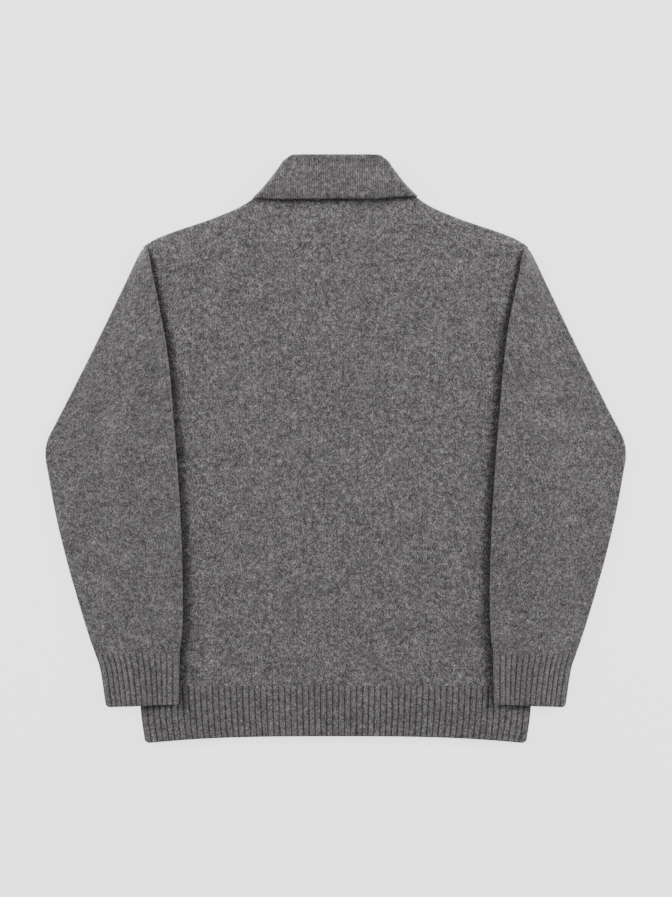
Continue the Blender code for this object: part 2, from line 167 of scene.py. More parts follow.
INNER_PUFF_SPREAD = 40.0   # widths over which a sleeve puffs up from its inner and its outer fold
OUTER_PUFF_SPREAD = 45.0
TUBE_CLOSES = 18.0         # length over which the armhole's two edges come together below the armpit
CAP_ROWS = 6               # rows of the rounded end of a sleeve's head
CAP_OUT = Vector((0.44, 0.90, 0.0))

# Knitted edges and ribs
THINNEST = 0.12            # share of the wall's thickness that a rounded free edge ends with
RIB_START = 4.0            # length over which the ribs come up from the plain knit
RIB_ROUNDNESS = 0.35       # share of a round crown in a rib's section; the rest is flat between its furrows
RIB_PHASE = 0.25           # place of a cuff's outer fold between two furrows, in ribs
BAND_RIB = 2.9             # width of one fine rib of the placket's bands, and its height
BAND_RIB_DEPTH = 0.12
BAND_RIB_START = 1.5       # width over which it comes up from the band's edge

Wander = namedtuple("Wander", "level size height")
BACK_WANDER = Wander(40.0, 70.0, 0.35)         # faint unevenness of the cloth between its creases
SLEEVE_WANDER = Wander(90.0, 55.0, 0.35)

Side = namedtuple("Side", "y half_width")
SIDES = [                  # side seam from the hem up, then the armhole from the armpit up
    Side(-377.0, 243.6), Side(-360.0, 246.5), Side(-334.0, 249.2), Side(-302.5, 251.0), Side(-250.0, 254.5),
    Side(-150.0, 258.5), Side(-50.0, 260.0), Side(0.0, 259.0), Side(24.0, 257.5), Side(33.0, 249.0),
    Side(45.0, 241.0), Side(60.0, 235.5), Side(80.0, 231.5), Side(106.0, 229.0), Side(125.0, 229.0),
    Side(155.0, 230.5), Side(183.0, 233.5), Side(205.0, 238.4), Side(221.0, 241.0), Side(236.0, 242.2),
    Side(248.0, 241.8), Side(255.0, 240.0), Side(260.0, 238.0), Side(266.0, 236.4),
]

Edge = namedtuple("Edge", "x y")
SHOULDER_FOLD = [          # outline of the shoulder, where the front turns over to the back
    Edge(91.0, 325.0), Edge(98.0, 322.2), Edge(104.5, 319.6), Edge(110.0, 315.3), Edge(117.0, 310.9),
    Edge(132.0, 303.4), Edge(147.3, 297.4), Edge(162.7, 291.5), Edge(178.0, 286.4), Edge(208.8, 276.0),
    Edge(230.4, 267.3), Edge(237.3, 263.3),
]
BACK_SHOULDER_SEAM = [     # sloping seam on the back, from the neck to the armhole
    Edge(92.5, 319.0), Edge(103.7, 312.4), Edge(121.0, 292.5), Edge(142.2, 273.5), Edge(162.7, 258.8),
    Edge(185.7, 245.6), Edge(211.3, 230.0), Edge(239.1, 208.4),
]

Lift = namedtuple("Lift", "y half_width")
LIFT_SHAPE = [             # half width of the cloth that the placket and the collar's leaves raise
    Lift(108.0, 18.0), Lift(200.0, 88.0), Lift(225.0, 104.0), Lift(330.0, 106.0),
]

Limb = namedtuple("Limb", "inner_y inner_x outer_y outer_x")
LIMB = [                   # inner and outer edge of a sleeve and its cuff, from the shoulder down
    Limb(261.2, 236.4, 253.8, 245.4), Limb(256.0, 237.2, 250.4, 249.2), Limb(248.0, 237.2, 240.8, 254.5),
    Limb(236.0, 235.7, 226.0, 261.6), Limb(221.6, 233.2, 209.0, 269.6), Limb(205.0, 229.8, 192.0, 277.8),
    Limb(183.2, 225.3, 170.0, 288.4), Limb(155.0, 219.7, 145.0, 300.6), Limb(125.0, 214.7, 118.0, 314.0),
    Limb(95.0, 211.0, 91.0, 327.6), Limb(62.0, 208.2, 60.0, 343.3), Limb(36.0, 206.2, 36.0, 355.6),
    Limb(24.0, 205.2, 24.0, 362.0), Limb(9.0, 203.9, 9.0, 368.9), Limb(-3.0, 203.0, -3.0, 371.2),
    Limb(-12.0, 202.3, -12.0, 371.2), Limb(-28.0, 201.2, -28.0, 368.6), Limb(-85.0, 197.6, -85.0, 358.1),
    Limb(-143.0, 195.3, -143.0, 344.2), Limb(-182.0, 194.6, -182.0, 333.2),
    Limb(-220.0, 194.9, -220.0, 321.9), Limb(-246.0, 196.7, -246.0, 313.6),
    Limb(-261.0, 199.0, -261.0, 308.1), Limb(-277.6, 199.4, -277.6, 302.1),
    Limb(-296.8, 199.8, -296.8, 298.5), Limb(-316.0, 200.1, -318.0, 295.6),
    Limb(-325.6, 200.3, -331.4, 293.6),
]
SLEEVE_TOP = LIMB[0].inner_y
SLEEVE_END = -261.0
CUFF_END = LIMB[-1].inner_y

Fold = namedtuple("Fold", "y made")
SLEEVE_FOLDS = [           # how far a sleeve's inner fold is made, from flat at its tip to full further down
    Fold(240.0, 1.0), Fold(247.0, 0.9), Fold(252.0, 0.6), Fold(256.5, 0.15), Fold(259.0, 0.0),
    Fold(265.0, 0.0),
]

Station = namedtuple("Station", "turn seam_x seam_y fold_x fold_y edge_x edge_y bow")
COLLAR = [                 # one half of the collar, from the middle of the back round to its front end
    Station(90, 0.0, 323.9, 0.0, 372.6, 0.0, 318.3, 0.0),
    Station(90, 24.0, 323.7, 24.0, 372.6, 36.0, 318.1, 0.0),
    Station(90, 54.0, 322.9, 48.2, 372.5, 72.0, 318.8, 0.0),
    Station(90, 70.0, 322.7, 55.0, 372.1, 87.0, 319.6, -0.5),
    Station(90, 83.5, 322.6, 59.4, 370.3, 97.6, 320.2, -1.0),
    Station(45, 84.6, 323.6, 59.5, 366.1, 98.9, 317.7, -1.3),
    Station(0, 85.4, 324.4, 60.2, 363.2, 99.6, 316.4, -1.4),
    Station(-45, 85.2, 323.4, 58.8, 363.0, 99.3, 316.0, -1.3),
    Station(-90, 87.4, 319.0, 55.0, 364.0, 98.0, 315.6, -0.8),
    Station(-90, 79.6, 286.4, 43.0, 338.0, 99.0, 288.0, 0.0),
    Station(-90, 67.0, 270.6, 32.0, 308.0, 94.0, 260.0, 0.0),
    Station(-90, 43.9, 254.6, 21.0, 281.0, 87.0, 235.0, 0.0),
    Station(-90, 15.6, 246.1, 12.0, 262.0, 79.0, 212.0, 0.0),
]
COLLAR_CORNER = 6          # station at the collar's side
COLLAR_OUT = Vector((0.80, 0.60, 0.0))         # across the collar's creased side, away from the neck
COLLAR_EDGE = [            # free edge of the fall on the back, from its middle out
    Edge(0.0, 318.3), Edge(36.0, 318.1), Edge(72.0, 318.8), Edge(98.0, 320.2),
]
COLLAR_LEAN = [            # how much higher that edge lies on the right, and lower on the left
    Edge(0.0, 0.0), Edge(50.0, 0.2), Edge(72.0, 1.1), Edge(90.0, 1.3), Edge(105.0, 1.0),
]

Crease = namedtuple("Crease", "x y length width turn height")
BACK_CREASES = [           # soft ridges and troughs across the back
    Crease(-120.0, 60.0, 210.0, 26.0, 62.0, 0.55), Crease(95.0, 120.0, 170.0, 22.0, 118.0, -0.5),
    Crease(40.0, -70.0, 240.0, 34.0, 80.0, 0.45), Crease(-60.0, -180.0, 190.0, 28.0, 55.0, -0.45),
    Crease(130.0, -150.0, 160.0, 24.0, 128.0, 0.5), Crease(-20.0, 215.0, 180.0, 20.0, 8.0, -0.35),
    Crease(-150.0, 190.0, 90.0, 16.0, 48.0, 0.45), Crease(160.0, 205.0, 80.0, 15.0, 130.0, 0.4),
]
FRONT_CREASES = [          # the same on the side that lies on the table, all of them hollows from below
    Crease(-110.0, 40.0, 180.0, 20.0, 70.0, 0.6), Crease(120.0, 85.0, 150.0, 18.0, 115.0, 0.5),
    Crease(60.0, -120.0, 220.0, 26.0, 84.0, 0.6), Crease(-80.0, -190.0, 160.0, 22.0, 60.0, 0.5),
    Crease(165.0, -200.0, 130.0, 18.0, 122.0, 0.5), Crease(-175.0, 120.0, 90.0, 14.0, 52.0, 0.4),
]
SLEEVE_CREASES = {         # by side; those at the elbow fan from the fold inside it
    -1: [
        Crease(-318.0, 18.0, 90.0, 9.0, 12.0, -0.39), Crease(-300.0, -22.0, 100.0, 10.0, -8.0, 0.33),
        Crease(-285.0, 95.0, 120.0, 13.0, 66.0, 0.33), Crease(-262.0, -140.0, 110.0, 15.0, 80.0, -0.33),
        Crease(-290.0, -215.0, 70.0, 9.0, 24.0, 0.33), Crease(-240.0, -70.0, 90.0, 14.0, 96.0, 0.29),
    ],
    1: [
        Crease(322.0, 8.0, 80.0, 9.0, 170.0, -0.39), Crease(296.0, -34.0, 105.0, 11.0, 186.0, 0.36),
        Crease(272.0, 120.0, 110.0, 12.0, 112.0, 0.33), Crease(282.0, -120.0, 120.0, 14.0, 98.0, -0.29),
        Crease(268.0, -205.0, 75.0, 10.0, 158.0, 0.33), Crease(238.0, 20.0, 100.0, 15.0, 84.0, 0.33),
    ],
}

# How finely each piece is meshed: columns from the middle to the slit, the neck and the side, and rows
Mesh = namedtuple("Mesh", "slit neck side rows yoke_rows")
BACK_MESH = Mesh(4, 27, 72, 120, 64)
FRONT_MESH = Mesh(3, 19, 50, 84, 34)
SIDE_TURN = 4              # columns in which a panel turns toward the other at the side seam
YOKE_CLOSER = 1.4          # how the yoke's rows get closer together toward its edge
SLOPE_REACH = 3.0          # distance to each side in which the shoulder fold's slope is taken
SHOULDER_ARC_ROWS = 8
SHOULDER_ROWS = 18
SLEEVE_ROWS = 164
Spans = namedtuple("Spans", "tuck inner upper outer lower")
SLEEVE_SPANS = Spans(18, 10, 64, 8, 36)
CUFF_SPANS = Spans(60, 24, 90, 20, 90)
COLUMNS_PER_RIB = 10
RIB_ROWS = 18
EDGE_STEPS = (2.2, 1.1, 0.6, 0.25, 0.0)        # distances of a rib's last rows from its rounded edge
COLLAR_COLUMNS = 250
COLLAR_ROWS = 48
COLLAR_ROWS_KEPT = 46      # of those, before the closer rows at the edge
COLLAR_EDGE_STEPS = (4.6, 3.6, 2.8, 2.1, 1.5, 0.9, 0.45, 0.15, 0.0)
COLLAR_END_STEPS = (0.0, 0.3, 0.8, 1.5)        # the same for its first and last columns
COLLAR_END_CLEAR = 2.0     # no even columns this near to an end
BAND_COLUMNS = 41
BAND_ROWS = 60
BUTTON_STEPS = 48
KNIT_APART = 1400.0        # between the two sleeves on the knit map, so that their mottle differs
WELD = 1e-6
SHARP = 60.0               # degrees above which an edge of cloth stays sharp
BUTTON_SHARP = 40.0


# ---------------------------------------------------------------- numbers and curves

def mix(start, end, part):
    return start + (end - start) * part


def clamp(value, low=0.0, high=1.0):
    return min(high, max(low, value))


def smooth(part):
    """0 to 1, level at both ends."""
    part = clamp(part)
    return part * part * (3 - 2 * part)


def ease(part):
    """0 to 1, steep at first and level at the end."""
    part = clamp(part)
    return part * (2 - part)


class Curve:
    """Smooth curve through rows of place and value, with no overshoot between rows."""

    def __init__(self, rows):
        rows = sorted(rows)
        self.places = [place for place, value in rows]
        self.values = [value for place, value in rows]
        slopes = [(b[1] - a[1]) / (b[0] - a[0]) for a, b in zip(rows, rows[1:])]
        self.leans = [slopes[0]]
        for before, after in zip(slopes, slopes[1:]):
            product = before * after
            self.leans.append(2 * product / (before + after) if product > 0 else 0.0)
        self.leans.append(slopes[-1])

    def __call__(self, at):
        at = clamp(at, self.places[0], self.places[-1])
        index = min(bisect_right(self.places, at), len(self.places) - 1) - 1
        span = self.places[index + 1] - self.places[index]
        t = (at - self.places[index]) / span
        start, end = self.values[index], self.values[index + 1]
        lean_in, lean_out = self.leans[index] * span, self.leans[index + 1] * span
        return (
            start * (1 + 2 * t) * (1 - t) ** 2 + lean_in * t * (1 - t) ** 2
            + end * t * t * (3 - 2 * t) + lean_out * t * t * (t - 1)
        )


class Spline:
    """Rounded line through points, each at its own mark."""

    def __init__(self, marks, points):
        self.marks = marks
        self.points = points
        self.leans = [self._lean(index) for index in range(len(points))]

    def _slope(self, index):
        span = self.marks[index + 1] - self.marks[index]
        return (self.points[index + 1] - self.points[index]) / span

    def _lean(self, index):
        last = len(self.points) - 1
        if index in (0, last):
            return self._slope(min(index, last - 1))
        before = self.marks[index] - self.marks[index - 1]
        after = self.marks[index + 1] - self.marks[index]
        return (self._slope(index - 1) * after + self._slope(index) * before) / (before + after)

    def __call__(self, at):
        index = min(bisect_right(self.marks, at), len(self.marks) - 1) - 1
        index = max(index, 0)
        span = self.marks[index + 1] - self.marks[index]
        t = (at - self.marks[index]) / span
        return (
            self.points[index] * ((1 + 2 * t) * (1 - t) ** 2)
            + self.points[index + 1] * (t * t * (3 - 2 * t))
            + self.leans[index] * (span * t * (1 - t) ** 2)
            + self.leans[index + 1] * (span * t * t * (t - 1))
        )


def lengths_along(points):
    """Distance of each point from the first, along the line through them."""
    marks = [0.0]
    for before, after in zip(points, points[1:]):
        marks.append(marks[-1] + math.dist(before, after))
    return marks


side_half = Curve(SIDES)
shoulder_fold = Curve(SHOULDER_FOLD)
back_shoulder_seam = Curve(BACK_SHOULDER_SEAM)
lift_half = Curve(LIFT_SHAPE)
limb_inner_x = Curve([(row.inner_y, row.inner_x) for row in LIMB])
limb_outer_x = Curve([(row.inner_y, row.outer_x) for row in LIMB])
limb_outer_y = Curve([(row.inner_y, row.outer_y) for row in LIMB])
collar_edge = Curve(COLLAR_EDGE)
collar_lean = Curve(COLLAR_LEAN)
sleeve_folds = Curve(SLEEVE_FOLDS)


# ---------------------------------------------------------------- sizes and colours that a user may change

class SweaterCloth(PropertyGroup):
    """Thickness and fullness of the knit."""

    thickness: FloatProperty(
        name="Knit thickness", description="Thickness of the jersey", default=0.0022,
        min=0.001, max=0.004, precision=4, unit="LENGTH",
    )
    layer_gap: FloatProperty(
        name="Layer gap", description="Room between the front and the back of the body", default=0.0017,
        min=0.0005, max=0.004, precision=4, unit="LENGTH",
    )
    puff: FloatProperty(
        name="Puff", description="How much the body rises between its folded edges", default=0.0055,
        min=0.0, max=0.008, precision=4, unit="LENGTH",
    )
    sleeve_puff: FloatProperty(
        name="Sleeve puff", description="How much a sleeve rises between its folds", default=0.0024,
        min=0.0, max=0.006, precision=4, unit="LENGTH",
    )
    tuck_radius: FloatProperty(
        name="Tuck radius", description="Radius of a sleeve's inner fold, where it stands on the back",
        default=0.0055, min=0.0015, max=0.008, precision=4, unit="LENGTH",
    )
    crease: FloatProperty(
        name="Crease strength", description="Scale of the soft creases' heights", default=1.0,
        min=0.0, max=3.0, subtype="FACTOR",
    )
    wale: FloatProperty(
        name="Wale", description="Width of one column of stitches", default=0.0019,
        min=0.001, max=0.006, precision=4, unit="LENGTH",
    )
    course: FloatProperty(
        name="Course", description="Height of one row of stitches", default=0.0014,
        min=0.0008, max=0.005, precision=4, unit="LENGTH",
    )


class SweaterRib(PropertyGroup):
    """Ribs of the hem and the cuffs, and the collar's finer ones."""

    hem_ribs: IntProperty(
        name="Hem ribs", description="Ribs all round the hem; an odd number sets front and back apart",
        default=131, min=41, max=301,
    )
    cuff_pitch: FloatProperty(
        name="Cuff pitch", description="Width of one rib of a cuff", default=0.0067,
        min=0.003, max=0.012, precision=4, unit="LENGTH",
    )
    thickness: FloatProperty(
        name="Rib thickness", description="Thickness of the cloth at the top of a rib", default=0.0032,
        min=0.001, max=0.005, precision=4, unit="LENGTH",
    )
    depth: FloatProperty(
        name="Furrow depth", description="How much thinner the cloth is between two ribs",
        default=0.0022, min=0.0, max=0.004, precision=4, unit="LENGTH",
    )
    furrow: FloatProperty(
        name="Furrow width", description="Width of the furrow between two ribs", default=0.0021,
        min=0.0008, max=0.004, precision=4, unit="LENGTH",
    )
    collar_wale: FloatProperty(
        name="Collar wale", description="Width of one fine rib of the collar", default=0.0029,
        min=0.001, max=0.006, precision=4, unit="LENGTH",
    )


class SweaterColours(PropertyGroup):
    """Yarn and button colours."""

    knit: FloatVectorProperty(
        name="Body yarn", description="Mean colour of the body and sleeves", subtype="COLOR",
        size=3, min=0.0, max=1.0, default=SLOT_COLOURS["knit"],
    )
    rib: FloatVectorProperty(
        name="Rib yarn", description="Mean colour of the hem and cuffs", subtype="COLOR",
        size=3, min=0.0, max=1.0, default=SLOT_COLOURS["rib"],
    )
    collar: FloatVectorProperty(
        name="Collar yarn", description="Mean colour of the collar", subtype="COLOR",
        size=3, min=0.0, max=1.0, default=SLOT_COLOURS["collar_knit"],
    )
    button: FloatVectorProperty(
        name="Button", description="Colour of the buttons", subtype="COLOR",
        size=3, min=0.0, max=1.0, default=SLOT_COLOURS["button"],
    )
    melange: FloatProperty(
        name="Melange", description="How far light and dark fibres stand apart", default=1.0,
        min=0.0, max=2.0, subtype="FACTOR",
    )


class SweaterStage(PropertyGroup):
    """Floor, light and camera."""

    height: FloatProperty(
        name="Camera height", description="Height of the camera over the floor", default=2.4,
        min=1.0, max=20.0, unit="LENGTH",
    )
    frame_height: FloatProperty(
        name="Frame height", description="Length of floor that the picture's height takes in",
        default=1.148, min=0.2, max=5.0, unit="LENGTH",
    )
    aim: FloatVectorProperty(
        name="Aim", description="Point of the floor in the middle of the picture", subtype="TRANSLATION",
        size=2, default=(0.0004, -0.00045), unit="LENGTH",
    )
    floor_size: FloatProperty(
        name="Floor size", description="Side of the square floor", default=80.0,
        min=2.0, max=200.0, unit="LENGTH",
    )
    floor_colour: FloatVectorProperty(
        name="Floor colour", description="Colour of the floor", subtype="COLOR",
        size=3, min=0.0, max=1.0, default=(0.86, 0.86, 0.86),
    )
    sky: FloatProperty(
        name="Surround light", description="Strength of the even light from all round", default=0.34,
        min=0.0, max=10.0,
    )
    glow: FloatProperty(
        name="Floor glow", description="Strength of the lit table's own light", default=1.9,
        min=0.0, max=10.0,
    )
    softbox: FloatProperty(
        name="Softbox power", description="Power of each of the two low softboxes", default=70.0,
        min=0.0, max=5000.0, subtype="POWER", unit="POWER",
    )


# ---------------------------------------------------------------- heights of the layers

class Layers:
    """Heights of the middle of each layer, in millimetres, worked out from the cloth's sizes."""

    def __init__(self, cloth):
        self.wall = cloth.thickness / MM
        self.front = self.wall / 2
        self.back = self.front + self.wall + cloth.layer_gap / MM
        self.middle = (self.front + self.back) / 2
        self.fold = (self.back - self.front) / 2
        self.over = self.back + self.wall + REST_GAP
        self.tuck = cloth.tuck_radius / MM
        self.puff = cloth.puff / MM
        self.sleeve_puff = cloth.sleeve_puff / MM
        self.crease = cloth.crease


def lift(x, y):
    """How far the collar's leaves and the placket raise the body above the table."""
    beside = (abs(x) - lift_half(y)) / LIFT_SPREAD
    below = (LIFT_SHAPE[0].y - y) / LIFT_SPREAD
    return COLLAR_LIFT * (1 - smooth(beside)) * (1 - smooth(below))


def creased(creases, x, y):
    """Height that a table's creases add at a point."""
    total = 0.0
    for crease in creases:
        turn = math.radians(crease.turn)
        dx, dy = x - crease.x, y - crease.y
        along = abs(dx * math.cos(turn) + dy * math.sin(turn)) * 2 / crease.length
        across = (dy * math.cos(turn) - dx * math.sin(turn)) / crease.width
        if along < 1 and abs(across) < CREASE_REACH:
            total += crease.height * math.exp(-across * across) * (1 - smooth(along))
    return total


def wandering(wander, x, y):
    """Height of the cloth's faint unevenness at a point."""
    return noise.noise(Vector((x, y, wander.level)) / wander.size) * wander.height


def inside_body(x, y, spread):
    """0 along the body's folded edges that show, rising to 1 over spread."""
    beside = smooth((side_half(y) - abs(x)) / spread)
    spread_above = spread * mix(1.0, TIP_SPREAD, smooth((abs(x) - TIP_FROM) / TIP_OVER))
    below_fold = (shoulder_fold(abs(x)) - y) / spread_above
    above = mix(ease(below_fold), smooth(below_fold), EDGE_SOFTNESS)
    return above * mix(beside, 1.0, smooth((y - CUFF_END) / SIDE_SHOWS_OVER))


def inner_edge(x, y):
    """Half width of a sleeve's inner fold; the right sleeve lies a little further out down its length."""
    out = RIGHT_SLEEVE_OUT * smooth((RIGHT_SLEEVE_FROM - y) / RIGHT_SLEEVE_OVER)
    return limb_inner_x(y) + (out if x > 0 else 0.0)


def head_part(y):
    """0 down a sleeve, rising to 1 at its head."""
    return smooth((y - HEAD_FROM) / HEAD_OVER)


def clear_of_sleeve(x, y):
    """0 where a sleeve presses the back down, rising to 1 beside its inner fold and below its cuff."""
    inner = inner_edge(x, y)
    width = mix(SADDLE_SIDE, SADDLE_SHOULDER, head_part(y))
    beside = max(0.0, (inner + UNDERCUT - abs(x)) / width)
    cuff_y = CUFF_END - CUFF_SLANT * (abs(x) - limb_inner_x(CUFF_END))
    below = max(0.0, (cuff_y + UNDERCUT - y) / SADDLE_CUFF)
    return mix(1.0, ease(math.hypot(beside, below)), sleeve_folds(y))


def lean_of_collar(x):
    """How much higher the collar's free edge lies here than the even edge: it rises from left to right."""
    return math.copysign(collar_lean(abs(x)), x)


def below_collar(x, y):
    """Distance of a point below the collar's free edge."""
    return collar_edge(abs(x)) + lean_of_collar(x) - y


def clear_of_collar(x, y):
    """Share of its rise that the back has below the collar's free edge."""
    beside = smooth((abs(x) - NECK_HALF) / COLLAR_SIDE_FADE)
    return mix(smooth(below_collar(x, y) / COLLAR_FADE), 1.0, beside)


def collar_dip(x, y):
    """How far the back sinks along the collar's free edge."""
    across = 1 - smooth((abs(x) - NECK_HALF + COLLAR_DIP_INSET) / COLLAR_DIP_FADE)
    from_middle = (below_collar(x, y) - COLLAR_DIP_BELOW) / COLLAR_DIP_WIDTH
    return COLLAR_DIP * math.exp(-(from_middle ** 2)) * across


def body_rise(layers, x, y):
    """How far the back stands above its lowest height: puffed between its edges, with soft creases."""
    clear = clear_of_sleeve(x, y) * clear_of_collar(x, y)
    soft = creased(BACK_CREASES, x, y) + wandering(BACK_WANDER, x, y)
    flat_hem = mix(HEM_PUFF, 1.0, smooth((y + TOP) / HEM_PUFF_OVER))
    puffed = layers.puff * flat_hem * inside_body(x, y, PUFF_SPREAD)
    return clear * (puffed + layers.crease * soft * inside_body(x, y, CREASE_SPREAD)) - collar_dip(x, y)


# ---------------------------------------------------------------- meshes

Stitch = namedtuple("Stitch", "x y z u v thick", defaults=(1.0,))
THICKNESS_GROUP = "wall thickness"
KNIT_MAP = "Knit"


def add_grid(bm, columns, rows, place):
    """A grid of cloth: place(column, row) gives each point's position, its place in the knit and its
    share of the wall's thickness."""
    knit = bm.loops.layers.uv.get(KNIT_MAP) or bm.loops.layers.uv.new(KNIT_MAP)
    group = bm.verts.layers.deform.verify()
    grid = bmesh.ops.create_grid(bm, x_segments=columns - 1, y_segments=rows - 1, size=1.0)
    for number, vert in enumerate(grid["verts"]):
        stitch = place(number % columns, number // columns)
        vert.co = Vector((stitch.x, stitch.y, stitch.z)) * MM
        vert[group][0] = stitch.thick
        for loop in vert.link_loops:
            loop[knit].uv = (stitch.u * MM, stitch.v * MM)


def add_piece(name, bm, material, sharp=SHARP):
    """Make a mesh the named piece, at the origin; edges over an angle in degrees stay sharp."""
    mesh = bpy.data.meshes.new(name)
    bm.to_mesh(mesh)
    bm.free()
    mesh.materials.append(material)
    mesh.shade_smooth()
    mesh.set_sharp_from_angle(angle=math.radians(sharp))
    piece = bpy.data.objects.new(name, mesh)
    bpy.context.scene.collection.objects.link(piece)
    return piece


def add_cloth(name, bm, material, wall):
    """Make a grid the named piece of cloth, thickened to both sides, and give its flat area."""
    bmesh.ops.remove_doubles(bm, verts=bm.verts, dist=WELD)
    bmesh.ops.recalc_face_normals(bm, faces=bm.faces)
    area = sum(face.calc_area() for face in bm.faces)
    piece = add_piece(name, bm, material)
    piece.vertex_groups.new(name=THICKNESS_GROUP)
    thick = piece.modifiers.new("wall", "SOLIDIFY")
    thick.thickness = wall * MM
    thick.offset = 0.0
    thick.use_quality_normals = True
    thick.vertex_group = THICKNESS_GROUP
    thick.thickness_vertex_group = 0.0
    single = piece.data
    depsgraph = bpy.context.evaluated_depsgraph_get()
    piece.data = bpy.data.meshes.new_from_object(
        piece.evaluated_get(depsgraph), preserve_all_data_layers=True, depsgraph=depsgraph,
    )
    piece.modifiers.clear()
    bpy.data.meshes.remove(single)
    piece.data.name = name
    piece.data.set_sharp_from_angle(angle=math.radians(SHARP))
    return piece, area


def declare(piece, node):
    """The piece rides with the sweater and stands for its solid, which is hidden."""
    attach(piece, BODY)
    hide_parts(node)


def rounded(distance, wall):
    """Share of the wall's thickness at a distance from a rounded free edge."""
    reach = clamp(1 - distance / (wall / 2))
    return max(THINNEST, math.sqrt(1 - reach * reach))


# ---------------------------------------------------------------- body

def column_x(index, half, mesh):
    """x of a body column: fixed up to the slit's edge, then in proportion to the half width."""
    at = abs(index)
    slit_x = PLACKET_HALF + SLIT_GAP
    neck_x = half * NECK_HALF / SHOULDER_TIP_HALF
    if at <= mesh.slit:
        x = slit_x * at / mesh.slit
    elif at <= mesh.neck:
        x = mix(slit_x, neck_x, (at - mesh.slit) / (mesh.neck - mesh.slit))
    else:
        x = mix(neck_x, half, (at - mesh.neck) / (mesh.side - mesh.neck))
    return math.copysign(x, index) if index else 0.0


def back_edge(x):
    """Upper edge of the back: the neck, then the sloping shoulder seam."""
    x = abs(x)
    if x < BACK_NECK_HALF:
        return BACK_NECK_Y - BACK_NECK_DIP * (x / BACK_NECK_HALF) ** 2
    return back_shoulder_seam(x)


def shoulder_start(layers, x):
    """Height at which the front leaves the table to turn over the shoulder."""
    slope = (shoulder_fold(x + SLOPE_REACH) - shoulder_fold(x - SLOPE_REACH)) / (2 * SLOPE_REACH)
    return shoulder_fold(x) - layers.wall / 2 * math.hypot(1, slope) - layers.fold


def front_edge(layers, x):
    """Upper edge of the front: the round neck, then where it starts to turn over the shoulder."""
    x = abs(x)
    if x < NECK_HALF - NECK_SLACK:
        return NECK_TOP - NECK_DEPTH * math.sqrt(1 - (x / NECK_HALF) ** 2)
    return shoulder_start(layers, x)


def body_place(mesh, column, row, tip, edge, radius):
    """Place of a point of the front or the back, in level rows up to the yoke, then rows to its edge.

    Gives x, y and how far the cloth has turned toward the other panel, over its last few columns.
    """
    index = column - mesh.side - SIDE_TURN
    turn = max(0, abs(index) - mesh.side) / SIDE_TURN * math.pi / 2
    index = clamp(index, -mesh.side, mesh.side)
    if row <= mesh.rows:
        y = mix(HEM_TOP, YOKE, row / mesh.rows)
        radius *= smooth((ARMPIT - y) / SIDE_FOLD_OVER)
        half = side_half(y)
        x = column_x(index, half - radius, mesh) + math.copysign(radius * math.sin(turn), index)
        return x, y, radius * (1 - math.cos(turn))
    rise = 1 - (1 - (row - mesh.rows) / mesh.yoke_rows) ** YOKE_CLOSER
    half = tip if rise == 1 else side_half(mix(YOKE, edge(tip), rise))
    x = column_x(index, half, mesh)
    return x, mix(YOKE, edge(x), rise), 0.0


def along_seam(x):
    """0 at both ends of a shoulder seam, rising to 1 between them."""
    from_neck = smooth((abs(x) - NECK_HALF - SEAM_NECK_GAP) / SEAM_NECK_FADE)
    return from_neck * (1 - smooth((abs(x) - SEAM_TIP_FROM) / SEAM_TIP_FADE))


def seam_swell(x, y):
    """Height of the back's sloping edge, where it is sewn over the turned shoulder."""
    from_seam = (back_edge(x) - y) * SEAM_SLOPE
    risen = mix(SEAM_EDGE, 1.0, smooth(from_seam / SEAM_ROLL))
    falls = smooth((from_seam - SEAM_ROLL) / SEAM_SWELL_WIDTH)
    return SEAM_SWELL * along_seam(x) * risen * (1 - falls)


def seam_furrow(x, y):
    """How far the turned shoulder sinks toward the same seam, less where it is narrow."""
    width = shoulder_fold(abs(x)) - back_edge(x)
    above = (y - back_edge(x)) * SEAM_SLOPE / min(SEAM_FURROW_WIDTH, width * SEAM_FURROW_SHARE)
    depth = SEAM_FURROW * min(1.0, width / SEAM_FURROW_WIDTH)
    return depth * along_seam(x) * (1 - smooth(above))


def make_back(layers, material):
    def place(column, row):
        x, y, turned = body_place(BACK_MESH, column, row, SEAM_TIP_HALF, back_edge, layers.fold)
        z = layers.back - turned + lift(x, y) + body_rise(layers, x, y) + seam_swell(x, y)
        return Stitch(x, y, z, x, y)

    bm = bmesh.new()
    add_grid(bm, 2 * (BACK_MESH.side + SIDE_TURN) + 1, BACK_MESH.rows + BACK_MESH.yoke_rows + 1, place)
    return add_cloth("sweater_back", bm, material, layers.wall)


def make_front(layers, material):
    mesh = FRONT_MESH

    def edge(x):
        return front_edge(layers, x)

    def place(column, row):
        x, y, turned = body_place(mesh, column, row, SHOULDER_TIP_HALF, edge, layers.fold)
        beside = smooth((side_half(y) - abs(x)) / CREASE_SPREAD)
        hollow = layers.crease * creased(FRONT_CREASES, x, y) * inside_body(x, y, CREASE_SPREAD) * beside
        return Stitch(x, y, layers.front + turned + lift(x, y) + max(0.0, hollow), x, y)

    bm = bmesh.new()
    add_grid(bm, 2 * (mesh.side + SIDE_TURN) + 1, mesh.rows + mesh.yoke_rows + 1, place)
    slit = [
        face for face in bm.faces
        if abs(face.calc_center_median().x) < PLACKET_HALF * MM
        and face.calc_center_median().y > YOKE * MM
    ]
    bmesh.ops.delete(bm, geom=slit, context="FACES")
    for side in (-1, 1):
        add_shoulder(bm, layers, side)
    return add_cloth("sweater_front", bm, material, layers.wall)


